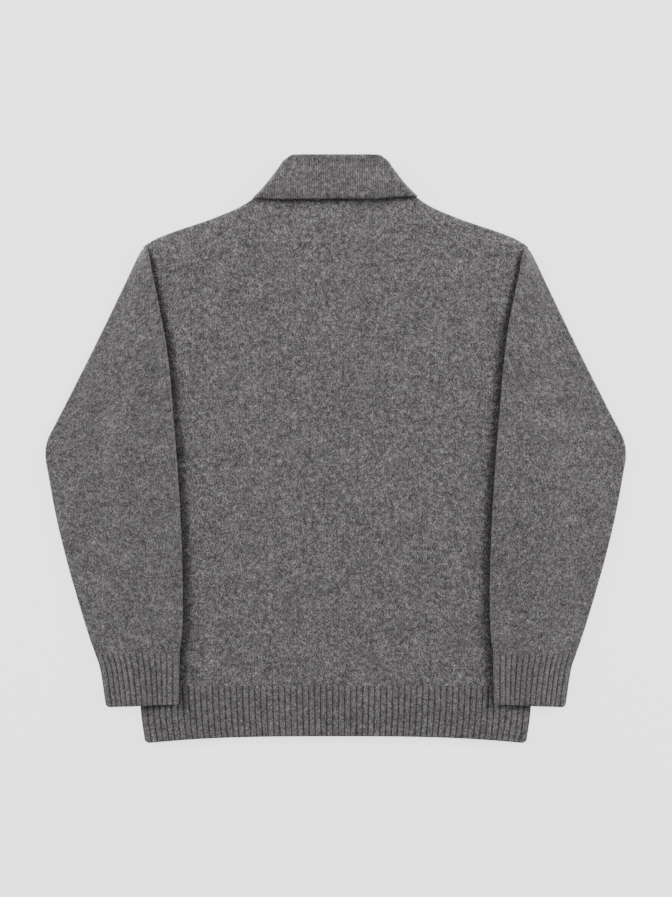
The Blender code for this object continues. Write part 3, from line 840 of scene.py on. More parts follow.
def add_shoulder(bm, layers, side):
    """The front turned over one shoulder, down to the seam on the back."""
    mesh = FRONT_MESH

    def place(column, row):
        top_x = column_x(mesh.neck + column, SHOULDER_TIP_HALF, mesh)
        seam_x = column_x(mesh.neck + column, SEAM_TIP_HALF, mesh)
        start = shoulder_start(layers, top_x)
        if row <= SHOULDER_ARC_ROWS:
            angle = math.pi * row / SHOULDER_ARC_ROWS
            x, y = top_x, start + layers.fold * math.sin(angle)
            z = layers.middle - layers.fold * math.cos(angle)
            if row == SHOULDER_ARC_ROWS:
                z += body_rise(layers, x, y)
        else:
            down = (row - SHOULDER_ARC_ROWS) / SHOULDER_ROWS
            tip_y = mix(shoulder_start(layers, SHOULDER_TIP_HALF), back_edge(SEAM_TIP_HALF), down)
            widen = side_half(tip_y) / mix(SHOULDER_TIP_HALF, SEAM_TIP_HALF, down)
            x = mix(top_x, seam_x, down) * mix(1.0, widen, column / (mesh.side - mesh.neck))
            y = mix(start, back_edge(seam_x) + SHOULDER_GAP, down)
            z = layers.back + body_rise(layers, side * x, y) - seam_furrow(x, y)
        return Stitch(side * x, y, z + lift(x, y), side * x, y)

    add_grid(bm, mesh.side - mesh.neck + 1, SHOULDER_ARC_ROWS + SHOULDER_ROWS + 1, place)


# ---------------------------------------------------------------- ribs

def ridge(phase, pitch, rib):
    """Share of the rib's full thickness, where phase counts the furrows between ribs along the cloth."""
    distance = abs(phase - round(phase)) * pitch
    sharp = math.exp(-((distance / (rib.furrow / MM / 2)) ** 2))
    crown = 1 - math.sqrt(abs(math.sin(math.pi * phase)))
    return 1 - rib.depth / rib.thickness * mix(sharp, crown, RIB_ROUNDNESS)


def rib_rows(length):
    """Distances of a rib's rows from its top, closer together at its rounded edge."""
    return [length * row / RIB_ROWS for row in range(RIB_ROWS)] + [length - step for step in EDGE_STEPS]


def corner(distance):
    """How far a rib's free edge rises at a distance from the side, to round its corner."""
    reach = clamp(1 - distance / CORNER_RADIUS)
    return CORNER_RADIUS * (1 - math.sqrt(1 - reach * reach * CORNER_ARC))


def flat_tube(layers, half, part):
    """x, z and how far the cloth faces up, part of the way round a flattened tube from its front's middle."""
    straight = half - layers.wall / 2 - layers.fold
    arc = math.pi * layers.fold
    at = part * (4 * straight + 2 * arc)
    if at > 3 * straight + 2 * arc:
        return at - 4 * straight - 2 * arc, layers.front, -1.0
    if at < straight:
        return at, layers.front, -1.0
    if straight + arc <= at <= 3 * straight + arc:
        return 2 * straight + arc - at, layers.back, 1.0
    side = 1 if at < straight + arc else -1
    angle = (at - straight) / layers.fold if side == 1 else (at - 3 * straight - arc) / layers.fold
    up = -side * math.cos(angle)
    return side * (straight + math.sin(angle) * layers.fold), layers.middle + up * layers.fold, up


def hem_pitch(rib):
    """Width of one of the hem's ribs."""
    return 4 * side_half(HEM_TOP) / rib.hem_ribs


def make_hem(layers, rib, material):
    columns = rib.hem_ribs * COLUMNS_PER_RIB
    length = TOP + HEM_TOP
    rows = rib_rows(length)
    pitch = hem_pitch(rib)
    wall = rib.thickness / MM
    spare = (wall - layers.wall) / 2

    def place(column, row):
        down = rows[row] / length
        part = (column % columns) / columns
        x, z, up = flat_tube(layers, side_half(mix(HEM_TOP, -TOP, down)), part)
        dip = HEM_DIP * min(1.0, abs(x) / HEM_HALF) ** 3 - corner(HEM_BOTTOM_HALF - abs(x))
        y = mix(HEM_TOP, HEM_LEAN + HEM_DIP - TOP - dip, down)
        start = smooth(rows[row] / RIB_START)
        z += start * spare * (1 if up < 0 else 0)
        z += body_rise(layers, x, y) * max(0.0, up)
        thick = mix(layers.wall / wall, ridge(part * rib.hem_ribs, pitch, rib), start)
        thick *= rounded(length - rows[row], wall)
        return Stitch(x, y, z, column * pitch / COLUMNS_PER_RIB, y, thick)

    bm = bmesh.new()
    add_grid(bm, columns + 1, len(rows), place)
    return add_cloth("sweater_hem", bm, material, wall)


# ---------------------------------------------------------------- sleeves and cuffs

def limb_section(layers, side, y, spans):
    """Middle of the cloth round one sleeve at a height, from its back armhole edge to its front one.

    Each point is x, z and its y. Below the armpit both ends are one point, so the sleeve is a tube.
    """
    fold, closed = sleeve_folds(y), smooth((ARMPIT - y) / TUBE_CLOSES)
    inner_x, outer_x, outer_y = inner_edge(side, y), limb_outer_x(y), limb_outer_y(y)
    body = side_half(y)
    head = head_part(y)
    share = mix(1.0, HEAD_SHARE, head)
    radius = layers.tuck * share
    inner = inner_x + layers.wall / 2 + radius
    outer = outer_x - layers.wall / 2 - layers.fold
    on_body = SLEEVE_ON_BODY * share * mix(1.0, CUFF_ON_BODY, smooth((SLEEVE_END - y) / CUFF_SETTLES_OVER))
    settled = layers.over + on_body
    hump = layers.over + 2 * radius - settled
    drop_end = min(body + BODY_EDGE_CLEAR + DROP, outer - DROP_CLEAR)
    drop_start = min(max(body + BODY_EDGE_CLEAR, mix(inner, drop_end, DROP_FROM)), drop_end - DROP_LEAST)
    settle = max(min(SETTLE, (drop_start - inner) / 2), SETTLE_LEAST)
    tuck = max(body + ARMHOLE_GAP, inner + TUCK_MIN)
    start_x = mix(tuck, body + SEAM_BESIDE, closed)
    end_x = mix(body + ARMHOLE_GAP, body + SEAM_BESIDE, closed)

    def under(x):
        """Height of the layer that lies below, as it comes down beside the body."""
        return mix(layers.over, layers.front, smooth((x - body - UNDER_FROM) / (LANDING - UNDER_FROM)))

    def level(x):
        """Height of the flat head, which goes on from the body."""
        rise = body_rise(layers, side * min(x, body), y)
        return layers.back + rise * (1 - smooth((x - body) / HEAD_FADE))

    def upper(x):
        """Height of the layer that faces up, from the inner fold to the outer one."""
        height = mix(settled, layers.back, smooth((x - drop_start) / (drop_end - drop_start)))
        height += hump * (1 - smooth((x - inner) / settle))
        height = mix(height, mix(layers.over + 2 * radius, layers.back, (x - inner) / (outer - inner)), head)
        room = smooth((x - inner) / INNER_PUFF_SPREAD) * smooth((outer - x) / OUTER_PUFF_SPREAD)
        soft = creased(SLEEVE_CREASES[side], side * x, y) + wandering(SLEEVE_WANDER, side * x, y)
        return height + room * (layers.sleeve_puff + layers.crease * soft)

    points = []
    for step in range(spans.tuck):
        x = mix(start_x, inner, step / spans.tuck)
        points.append((x, mix(layers.over, under(x), closed)))
    for step in range(spans.inner):
        angle = math.pi * step / spans.inner
        points.append((inner - radius * math.sin(angle), layers.over + radius * (1 - math.cos(angle))))
    for step in range(spans.upper):
        x = mix(inner, outer, step / spans.upper)
        points.append((x, upper(x)))
    folded_columns = spans.tuck + spans.inner + spans.upper
    flat = [mix(body, outer, step / folded_columns) for step in range(folded_columns)]
    points = [(mix(a, x, fold), mix(level(a), z, fold)) for a, (x, z) in zip(flat, points)]
    for step in range(spans.outer):
        angle = math.pi * step / spans.outer
        out_x, out_z = layers.fold * math.sin(angle), layers.fold * math.cos(angle)
        points.append((outer + out_x, layers.middle + out_z))
    for step in range(spans.lower + 1):
        x = mix(outer, end_x, step / spans.lower)
        points.append((x, mix(layers.front, under(x), closed)))

    section = []
    for x, z in points:
        across = (x - inner_x) / (outer_x - inner_x)
        point_y = mix(y, outer_y, max(0.0, across))
        section.append(Vector((side * x, point_y, z)))
    if closed == 1:
        section[-1] = section[0].copy()
    return section


def outer_column(spans):
    """Column at the middle of a sleeve's outer fold, from which the knit is measured."""
    return spans.tuck + spans.inner + spans.upper + spans.outer // 2


def limb_drop(rows):
    """Length along the outer fold at each row of a sleeve or cuff."""
    return lengths_along([(limb_outer_x(y), limb_outer_y(y)) for y in rows])


def make_sleeve(layers, name, side, material):
    rows = [mix(SLEEVE_TOP, SLEEVE_END, row / SLEEVE_ROWS) for row in range(SLEEVE_ROWS + 1)]
    sections = [limb_section(layers, side, y, SLEEVE_SPANS) for y in rows]
    drops = limb_drop(rows)
    top = sections[0]
    inner_x = min(abs(point.x) for point in top)
    outer_x = max(abs(point.x) for point in top)
    for step in range(1, CAP_ROWS + 1):
        angle = math.pi / 2 * step / CAP_ROWS
        reach = layers.fold * math.sin(angle)
        capped = []
        for point in top:
            across = (abs(point.x) - inner_x) / (outer_x - inner_x)
            z = mix(layers.middle, point.z, math.cos(angle))
            x = point.x + side * CAP_OUT.x * reach * across
            capped.append(Vector((x, point.y + mix(1.0, CAP_OUT.y, across) * reach, z)))
        sections.insert(0, capped)
        drops.insert(0, -layers.fold * angle)
    middle = outer_column(SLEEVE_SPANS)
    girths = [lengths_along(section) for section in sections]
    away = KNIT_APART * (side > 0)

    def place(column, row):
        point = sections[row][column]
        return Stitch(*point, girths[row][column] - girths[row][middle], away - drops[row])

    bm = bmesh.new()
    add_grid(bm, len(sections[0]), len(sections), place)
    return add_cloth(f"sweater_sleeve_{name}", bm, material, layers.wall)


def even_section(section, middle, count):
    """A closed section's points spaced evenly, and where its outer fold comes among them."""
    marks = lengths_along(section)
    girth = marks[-1]
    even = []
    for step in range(count + 1):
        at = girth * (step % count) / count
        index = min(bisect_right(marks, at), len(marks) - 1) - 1
        span = marks[index + 1] - marks[index]
        point = section[index].lerp(section[index + 1], (at - marks[index]) / span)
        even.append(point)
    return even, marks[middle] / girth


def make_cuff(layers, rib, name, side, material):
    length = SLEEVE_END - CUFF_END
    downs = rib_rows(length)
    rows = [SLEEVE_END - down for down in downs]
    drops = limb_drop(rows)
    middle = outer_column(CUFF_SPANS)
    sections = [limb_section(layers, side, y, CUFF_SPANS) for y in rows]
    wall = rib.thickness / MM
    spare = (wall - layers.wall) / 2
    ends = [limb_outer_x(y) for y in rows]
    pitch = rib.cuff_pitch / MM
    ribs = round(lengths_along(sections[-1])[-1] / pitch)
    count = ribs * COLUMNS_PER_RIB
    evens = [even_section(section, middle, count) for section in sections]
    away = KNIT_APART * (side > 0)

    def place(column, row):
        even, fold_part = evens[row]
        part = (column % count) / count
        start = smooth(downs[row] / RIB_START)
        phase = (part - fold_part) * ribs + RIB_PHASE
        point = even[column].copy()
        point.y += corner(ends[row] - abs(point.x)) * downs[row] / length
        point.z += spare * start * smooth((layers.middle - point.z) / layers.fold)
        thick = mix(layers.wall / wall, ridge(phase, pitch, rib), start)
        thick *= rounded(length - downs[row], wall)
        place_in_knit = ((column / count - fold_part) * ribs + RIB_PHASE) * pitch
        return Stitch(*point, place_in_knit, away - drops[row], thick)

    bm = bmesh.new()
    add_grid(bm, count + 1, len(rows), place)
    return add_cloth(f"sweater_cuff_{name}", bm, material, wall)


# ---------------------------------------------------------------- collar

COLLAR_WALL = 3.0          # at its rolled edge; elsewhere a share of it
COLLAR_SHARE = 0.73        # in the plain cloth
BEAD = 1.5                 # width of the rolled edge
COURSE_FURROW = 0.68       # in the furrow of the last course, and its distance from the edge
COURSE_FURROW_AT = 3.6
PLAIN_OVER = 1.2           # width in which the plain cloth comes up from it
COLLAR_END_WALL = 2.2      # thickness from which the front ends are rounded, and their least share
COLLAR_END_SHARE = 0.1
FALL_STAND_OFF = 6.2       # how far the fall stands off the back near its free edge
FALL_OFF_FROM = 0.1        # part of the fall at which it starts to, over FALL_OFF_OVER
FALL_OFF_OVER = 0.8
FALL_CURL = 3.2            # length in which the edge curls down again
FALL_END = 0.5             # share of the height left at the very edge
FALL_LENGTH = 56.0
BOW_LOW = 1.5              # power that moves the fall's bow toward its free edge
LEAN_OVER = 22.0           # length from the free edge over which the collar's lean fades
STAND_PARTS = (0.0, 0.5, 1.0)
TURN_ANGLES = (45, 90, 135)
FALL_PARTS = (0.0, 0.2, 0.4, 0.6, 0.76, 0.88, 0.91, 0.935, 0.955, 0.97, 0.982, 0.992, 1.0)
FALL_LEVEL = len(STAND_PARTS) + len(TURN_ANGLES)


def collar_section(layers, station):
    """One section of the collar: up the stand, over the turn, and down the fall to its free edge."""
    stand_z = layers.middle + COLLAR_LIFT
    fall_top = layers.over + COLLAR_LIFT
    fall_z, fall_radius = (fall_top + layers.front) / 2, (fall_top - layers.front) / 2
    angle = math.radians(station.turn)
    wrap = Vector((math.cos(angle) * COLLAR_OUT.x, math.cos(angle) * COLLAR_OUT.y, math.sin(angle)))
    seam = Vector((station.seam_x, station.seam_y, 0.0))
    fold = Vector((station.fold_x, station.fold_y, 0.0))
    edge = Vector((station.edge_x, station.edge_y, 0.0))
    stand_shift = wrap * layers.fold + Vector((0, 0, stand_z))
    fall_shift = wrap * fall_radius + Vector((0, 0, fall_z))
    up = (fold - (seam + edge) / 2).normalized()
    stand = [seam.lerp(fold, part) + stand_shift for part in STAND_PARTS]
    fall = []
    for part in FALL_PARTS:
        lower = part ** BOW_LOW
        bow = COLLAR_OUT * station.bow * 4 * lower * (1 - lower)
        from_curl = clamp(1 - (1 - part) * FALL_LENGTH / FALL_CURL)
        curled = mix(FALL_END, 1.0, math.sqrt(1 - from_curl * from_curl))
        off = max(0.0, wrap.z) * FALL_STAND_OFF * smooth((part - FALL_OFF_FROM) / FALL_OFF_OVER)
        fall.append(fold.lerp(edge, part) + bow + fall_shift + Vector((0, 0, off * curled)))
    middle, reach = (stand[-1] + fall[0]) / 2, (stand[-1] - fall[0]) / 2
    turn = [
        middle + reach * math.cos(math.radians(a)) + up * TURN_RADIUS * math.sin(math.radians(a))
        for a in TURN_ANGLES
    ]
    return stand + turn + fall


def collar_wall(distance):
    """Share of the collar's greatest thickness at a distance from its free edge: a rolled bead, the
    furrow of its last course, then the plain cloth."""
    if distance < BEAD:
        return max(THINNEST, math.sqrt(1 - (1 - distance / BEAD) ** 2))
    if distance < COURSE_FURROW_AT:
        return mix(1.0, COURSE_FURROW, smooth((distance - BEAD) / (COURSE_FURROW_AT - BEAD)))
    return mix(COURSE_FURROW, COLLAR_SHARE, smooth((distance - COURSE_FURROW_AT) / PLAIN_OVER))


def collar_end_wall(distance):
    """The same at a distance from one of its front ends, which are rounded."""
    if distance >= COLLAR_END_WALL / 2:
        return 1.0
    return max(rounded(distance, COLLAR_END_WALL) * COLLAR_SHARE, COLLAR_END_SHARE)


def make_collar(layers, material):
    half = [collar_section(layers, station) for station in COLLAR]
    mirrored = [[Vector((-p.x, p.y, p.z)) for p in section] for section in reversed(half[1:])]
    sections = mirrored + half
    levels = len(half[0])
    marks = [0.0]
    for before, after in zip(sections, sections[1:]):
        marks.append(marks[-1] + sum((a - b).length for a, b in zip(before, after)) / levels)
    end, middle = marks[-1], marks[-1] / 2
    even = [end * number / COLLAR_COLUMNS for number in range(COLLAR_COLUMNS + 1)]
    columns = [*COLLAR_END_STEPS, *(at for at in even if COLLAR_END_CLEAR < at < end - COLLAR_END_CLEAR)]
    columns += [end - step for step in reversed(COLLAR_END_STEPS)]
    down = lengths_along(half[0])
    reach = down[-1]
    rows = [reach * number / COLLAR_ROWS for number in range(COLLAR_ROWS_KEPT)]
    rows += [reach - step for step in COLLAR_EDGE_STEPS]
    runs = [Spline(marks, [section[level] for section in sections]) for level in range(levels)]
    ribs = [Spline(down, [run(at) for run in runs]) for at in columns]
    corner_at = middle - marks[len(COLLAR) - 1 - COLLAR_CORNER]
    corner_columns = {
        right: min(range(len(columns)), key=lambda n: abs(columns[n] - middle - way * corner_at))
        for right, way in ((False, -1), (True, 1))
    }

    def place(column, row):
        point = ribs[column](rows[row])
        from_end = min(columns[column], end - columns[column])
        from_edge = reach - rows[row]
        at = columns[column] - middle
        if abs(at) > corner_at:
            side_x = ribs[corner_columns[at > 0]](rows[row]).x
            knit_x = side_x + math.copysign(abs(at) - corner_at, at)
        else:
            knit_x = point.x
        on_fall = rows[row] > down[FALL_LEVEL]
        thick = min(collar_wall(from_edge), collar_end_wall(from_end)) if on_fall else COLLAR_SHARE
        point.z = max(point.z, COLLAR_WALL * thick / 2)
        lean = lean_of_collar(point.x) * (1 - smooth(from_edge / LEAN_OVER))
        point.y += lean
        point.x += min(0.0, lean)
        return Stitch(*point, knit_x, -rows[row], thick)

    bm = bmesh.new()
    add_grid(bm, len(columns), len(rows), place)
    return add_cloth("sweater_collar", bm, material, COLLAR_WALL)


# ---------------------------------------------------------------- placket and buttons

def make_band(name, half_width, bottom, level, material):
    """One of the placket's two bands: a strip of close rib, rounded at its edges."""
    def place(column, row):
        x = mix(-half_width, half_width, column / (BAND_COLUMNS - 1))
        y = mix(bottom, PLACKET_TOP, row / (BAND_ROWS - 1))
        edge = min(half_width - abs(x), y - bottom, PLACKET_TOP - y)
        raised = BAND_RIB_DEPTH * math.cos(2 * math.pi * x / BAND_RIB) * smooth(edge / BAND_RIB_START)
        return Stitch(x, y, level + raised, x, y, rounded(edge, PLACKET_WALL))

    bm = bmesh.new()
    add_grid(bm, BAND_COLUMNS, BAND_ROWS, place)
    return add_cloth(name, bm, material, PLACKET_WALL)


Turned = namedtuple("Turned", "radius height")
BUTTON_PROFILE = [         # a button's outline, from its top's middle to its foot's
    Turned(0.0, 1.15), Turned(3.1, 1.15), Turned(3.7, 1.35), Turned(4.3, 1.75), Turned(4.8, 1.8),
    Turned(5.3, 1.65), Turned(5.6, 1.2), Turned(5.6, 0.7), Turned(5.2, 0.25), Turned(4.4, 0.0),
    Turned(0.0, 0.0),
]


def make_button(number, y, material):
    bm = bmesh.new()
    corners = [bm.verts.new(Vector((row.radius, 0.0, row.height)) * MM) for row in BUTTON_PROFILE]
    edges = [bm.edges.new(pair) for pair in zip(corners, corners[1:])]
    bmesh.ops.spin(
        bm, geom=corners + edges, cent=(0, 0, 0), axis=(0, 0, 1), angle=math.tau, steps=BUTTON_STEPS,
        use_merge=True, use_duplicate=False,
    )
    bmesh.ops.remove_doubles(bm, verts=bm.verts, dist=WELD)
    bmesh.ops.translate(bm, verts=bm.verts, vec=Vector((0, y, 0)) * MM)
    bmesh.ops.recalc_face_normals(bm, faces=bm.faces)
    return add_piece(f"sweater_button_{number}", bm, material, BUTTON_SHARP)


# ---------------------------------------------------------------- materials

Fibre = namedtuple("Fibre", "size detail rough")
CLUMP = Fibre(0.0062, 2.0, 0.55)               # tangles of wool
TUFT = Fibre(0.0021, 2.0, 0.6)                 # fibres of a few stitches
CLOUD = Fibre(0.024, 2.0, 0.5)                 # wide uneven patches
HORN_CLOUD = Fibre(0.003, 3.0, 0.6)            # the buttons' patches and grain
HORN_GRAIN = Fibre(0.0004, 2.0, 0.6)
TABLE_CLOUD = Fibre(0.6, 2.0, 0.5)

WARM = Vector((1.11, 1.0, 0.935))
COOL = Vector((0.95, 1.0, 1.07))
SLEEVE_MELANGE = 0.97      # how far a piece's light and dark fibres stand apart, as a share of the body's
COLLAR_MELANGE = 0.88
RIB_MELANGE = 0.8
RIB_FURROW_PAINTED_SHADE = 0.5            # painted shade: how much darker the wool is painted in the furrows between ribs, where shade falls
RIB_PAINTED_SHADE_FROM = 0.0003    # metres from a furrow's middle where the painted shade starts to get lighter, and where it ends
RIB_PAINTED_SHADE_TO = 0.0015
FINE_RIB_PAINTED_LIGHT = 0.20      # painted light and shade: how much lighter the wool is painted on a fine rib's crest, and darker in its furrow
STITCH_SHADE = 1.35        # how much each stitch, tuft, clump and cloud adds to the mottle
TUFT_SHADE = 2.2
CLUMP_SHADE = 2.0
CLOUD_SHADE = 0.8
LEG_PAINTED_SHADE = 0.25           # painted shade: how much darker a stitch is painted where its two legs meet, in the hollow between them
LEG_SLANT = 0.6            # how far the legs slant, as a share of a course
STITCH_BUMP = 0.6          # how much each stitch, tuft, clump and fine rib adds to the bump
TUFT_BUMP = 1.3
CLUMP_BUMP = 0.8
FINE_RIB_BUMP = 0.8
HUE_APART = 7.0            # between the stitches' random shades and their random hues
SHIFT_APART = 0.01         # metres between the mottles of two wools, for each unit of their shifts
RIB_STITCHES = 4           # stitches across a rib of the hem and the cuffs, and across a fine rib
FINE_RIB_STITCHES = 2


class Value:
    """A shader socket that takes part in sums."""

    def __init__(self, shader, socket):
        self.shader = shader
        self.socket = socket

    def __add__(self, other):
        return self.shader.sum("ADD", self, other)

    def __sub__(self, other):
        return self.shader.sum("SUBTRACT", self, other)

    def __rsub__(self, other):
        return self.shader.sum("SUBTRACT", other, self)

    def __mul__(self, other):
        return self.shader.sum("MULTIPLY", self, other)

    def __truediv__(self, other):
        return self.shader.sum("DIVIDE", self, other)

    def __pow__(self, other):
        return self.shader.sum("POWER", self, other)

    def __rpow__(self, other):
        return self.shader.sum("POWER", other, self)

    def __abs__(self):
        return self.shader.sum("ABSOLUTE", self)

    __radd__ = __add__
    __rmul__ = __mul__


class Shader:
    """A material's nodes."""

    def __init__(self, name):
        self.material = bpy.data.materials.new(name)
        self.material.use_nodes = True
        self.tree = self.material.node_tree
        self.surface = self.tree.nodes["Principled BSDF"]

    def node(self, kind, settings=None, **inputs):
        """Add a node: its settings first, then the values or links of its sockets, by name or number."""
        made = self.tree.nodes.new(kind)
        for key, value in (settings or {}).items():
            setattr(made, key, value)
        for key, value in inputs.items():
            self.feed(made.inputs[int(key[1:])] if key[1:].isdigit() else made.inputs[key], value)
        return made

    def feed(self, socket, value):
        if isinstance(value, Value):
            self.tree.links.new(value.socket, socket)
        else:
            socket.default_value = value

    def value(self, node, output=0):
        return Value(self, node.outputs[output])

    def sum(self, operation, first, second=None):
        made = self.node("ShaderNodeMath", {"operation": operation}, i0=first)
        if second is not None:
            self.feed(made.inputs[1], second)
        return self.value(made)

    def fraction(self, value):
        return self.sum("FRACT", value)

    def floor(self, value):
        return self.sum("FLOOR", value)

    def cosine(self, value):
        return self.sum("COSINE", value)

    def between(self, value, low, high):
        """0 below low, 1 above high and smooth between them."""
        made = self.node(
            "ShaderNodeMapRange", {"interpolation_type": "SMOOTHSTEP"},
            Value=value, **{"From Min": low, "From Max": high},
        )
        return self.value(made)

    def point(self, x, y, z=0.0):
        return self.value(self.node("ShaderNodeCombineXYZ", X=x, Y=y, Z=z))

    def object_place(self):
        """Place on the object, in metres."""
        return self.value(self.node("ShaderNodeTexCoord"), 3)

    def fibre(self, at, fibre):
        """Soft noise about zero, whose patches are of the fibre's size in metres."""
        made = self.node(
            "ShaderNodeTexNoise", {"noise_dimensions": "3D"},
            Vector=at, Scale=1 / fibre.size, Detail=fibre.detail, Roughness=fibre.rough,
        )
        return self.value(made) - 0.5

    def speck(self, at):
        """One random number for each whole number in a vector, about zero."""
        made = self.node("ShaderNodeTexWhiteNoise", {"noise_dimensions": "3D"}, Vector=at)
        return self.value(made) - 0.5

    def tint(self, first, second, part):
        """A colour between two, or the first alone where part is zero."""
        first, second = (*first, 1.0), (*second, 1.0)
        made = self.node("ShaderNodeMix", {"data_type": "RGBA"}, Factor=part, i6=first, i7=second)
        return self.value(made, 2)

    def scaled(self, colour, by):
        made = self.node("ShaderNodeVectorMath", {"operation": "SCALE"}, i0=colour, Scale=by)
        return self.value(made)

    def bump(self, height, strength, distance):
        made = self.node("ShaderNodeBump", None, Strength=strength, Distance=distance, Height=height)
        return self.value(made)

    def finish(self, values):
        """Feed the surface's sockets by name, and give the finished material."""
        for name, value in values.items():
            self.feed(self.surface.inputs[name], value)
        return self.material


def wool(
    name, colour, melange, wale, course, tone=1.0, heather=1.0, patchy=1.0, painted_furrow_pitch=0.0,
    fine_rib=0.0, shift=0.0
):
    """Heather lambswool knit: stitches along the piece's own knit map, mixed light and dark fibres, with
    painted shade where a stitch's legs meet and in rib furrows, and painted light on fine ribs.
    """
    shader = Shader(name)
    knit = shader.value(shader.node("ShaderNodeUVMap", {"uv_map": KNIT_MAP}))
    parts = shader.node("ShaderNodeSeparateXYZ", Vector=knit)
    u, v = shader.value(parts, 0), shader.value(parts, 1)
    across, along = u / wale, v / course
    leg = abs(shader.fraction(across) * 2 - 1)
    slanted = along + leg * LEG_SLANT
    column, row = shader.floor(across * 2), shader.floor(slanted)
    stitch = shader.speck(shader.point(column, row, shift))
    hue = shader.speck(shader.point(column, row, shift + HUE_APART))
    flat = shader.point(u, v, shift * SHIFT_APART)
    clump, tuft, cloud = (shader.fibre(flat, fibre) for fibre in (CLUMP, TUFT, CLOUD))
    uneven = (clump * CLUMP_SHADE + cloud * CLOUD_SHADE) * patchy
    mottle = stitch * STITCH_SHADE + tuft * TUFT_SHADE + uneven
    shade = tone * math.e ** (mottle * melange)
    # painted shade in the hollow where a stitch's legs meet
    shade = shade * (1 - LEG_PAINTED_SHADE * (1 - leg) ** 2)
    loop = shader.fraction(leg) * 2 - 1
    relief = (1 - loop * loop) * (0.5 + 0.5 * shader.cosine(slanted * math.tau))
    height = relief * STITCH_BUMP + tuft * TUFT_BUMP + clump * CLUMP_BUMP
    if painted_furrow_pitch:
        # painted shade in the furrows between ribs
        off = abs(shader.fraction(u / painted_furrow_pitch + 0.5) - 0.5) * painted_furrow_pitch
        shade = shade * (1 - RIB_FURROW_PAINTED_SHADE * (1 - shader.between(off, RIB_PAINTED_SHADE_FROM, RIB_PAINTED_SHADE_TO)))
    if fine_rib:
        line = shader.cosine(u / fine_rib * math.tau)
        # painted light on the fine ribs' crests and painted shade in their furrows, in step with their bump
        shade = shade * (1 + FINE_RIB_PAINTED_LIGHT * line)
        height = height + FINE_RIB_BUMP * line
    warm, cool = ([c * w for c, w in zip(colour, cast)] for cast in (WARM, COOL))
    yarn = shader.tint(warm, cool, hue * heather + 0.5)
    return shader.finish({
        "Base Color": shader.scaled(yarn, shade),
        "Roughness": 0.9 + tuft * 0.1,
        "Normal": shader.bump(height, strength=0.55, distance=0.0006),
        "Metallic": 0.0,
        "Specular IOR Level": 0.2,
        "Sheen Weight": 0.25,
        "Sheen Roughness": 0.45,
        "Sheen Tint": (0.8, 0.79, 0.79, 1.0),
    })


def horn(colour):
    """Satin dark button, faintly clouded, with a fine grain."""
    shader = Shader("button_satin")
    place = shader.object_place()
    cloud, grain = (shader.fibre(place, fibre) for fibre in (HORN_CLOUD, HORN_GRAIN))
    return shader.finish({
        "Base Color": shader.scaled(shader.tint(colour, colour, 0.0), 1 + cloud * 0.9 + grain * 0.3),
        "Roughness": 0.38 + cloud * 0.2,
        "Normal": shader.bump(grain, strength=0.15, distance=0.0001),
    })


def pale_floor(colour, glow):
    """Matt lit table with the faintest mottle."""
    shader = Shader("pale_floor")
    shade = 1 + shader.fibre(shader.object_place(), TABLE_CLOUD) * 0.012
    return shader.finish({
        "Base Color": shader.scaled(shader.tint(colour, colour, 0.0), shade),
        "Roughness": 0.9,
        "Specular IOR Level": 0.1,
        "Emission Color": (1.0, 1.0, 1.0, 1.0),
        "Emission Strength": glow,
    })


# ---------------------------------------------------------------- operators

class SWEATER_OT_body(Operator):
    """Make the front and back panels"""

    bl_idname = "sweater.body"
    bl_label = "Body"

    def execute(self, context):
        scene = context.scene
        cloth, colours = scene.sweater_cloth, scene.sweater_colours
        layers = Layers(cloth)
        material = wool("body_wool", colours.knit, colours.melange, cloth.wale, cloth.course)
        front, area = make_front(layers, material)
        declare(front, "front_panel")
        back, area = make_back(layers, material)
        declare(back, "back_panel")
        return {"FINISHED"}


class SWEATER_OT_hem(Operator):
    """Make the ribbed hem"""

    bl_idname = "sweater.hem"
    bl_label = "Hem"

    def execute(self, context):
        scene = context.scene
        cloth, colours, rib = scene.sweater_cloth, scene.sweater_colours, scene.sweater_rib
        layers = Layers(cloth)
        pitch = hem_pitch(rib) * MM
        material = wool(
            "hem_wool", colours.rib, colours.melange * RIB_MELANGE, pitch / RIB_STITCHES, cloth.course,
            tone=1.215, heather=0.8, patchy=0.7, painted_furrow_pitch=pitch, shift=3,
        )
        hem, _ = make_hem(layers, rib, material)
        declare(hem, "hem_rib")
        return {"FINISHED"}


class SWEATER_OT_sleeves(Operator):
    """Make both sleeves and their ribbed cuffs"""

    bl_idname = "sweater.sleeves"
    bl_label = "Sleeves and cuffs"

    def execute(self, context):
        scene = context.scene
        cloth, colours, rib = scene.sweater_cloth, scene.sweater_colours, scene.sweater_rib
        layers = Layers(cloth)
        # the sleeves take the body's yarn painted 5% darker, as painted shade
        knit = wool(
            "sleeve_wool", colours.knit, colours.melange * SLEEVE_MELANGE, cloth.wale, cloth.course,
            tone=0.95, patchy=0.72, shift=11,
        )
        pitch = rib.cuff_pitch
        ribbed = wool(
            "cuff_wool", colours.rib, colours.melange * RIB_MELANGE, pitch / RIB_STITCHES, cloth.course,
            tone=1.23, heather=0.75, patchy=0.5, painted_furrow_pitch=pitch, shift=17,
        )
        for name, side in (("left", -1), ("right", 1)):
            sleeve, area = make_sleeve(layers, name, side, knit)
            declare(sleeve, f"sleeve_{name}")
            cuff, _ = make_cuff(layers, rib, name, side, ribbed)
            declare(cuff, f"cuff_{name}")
        return {"FINISHED"}


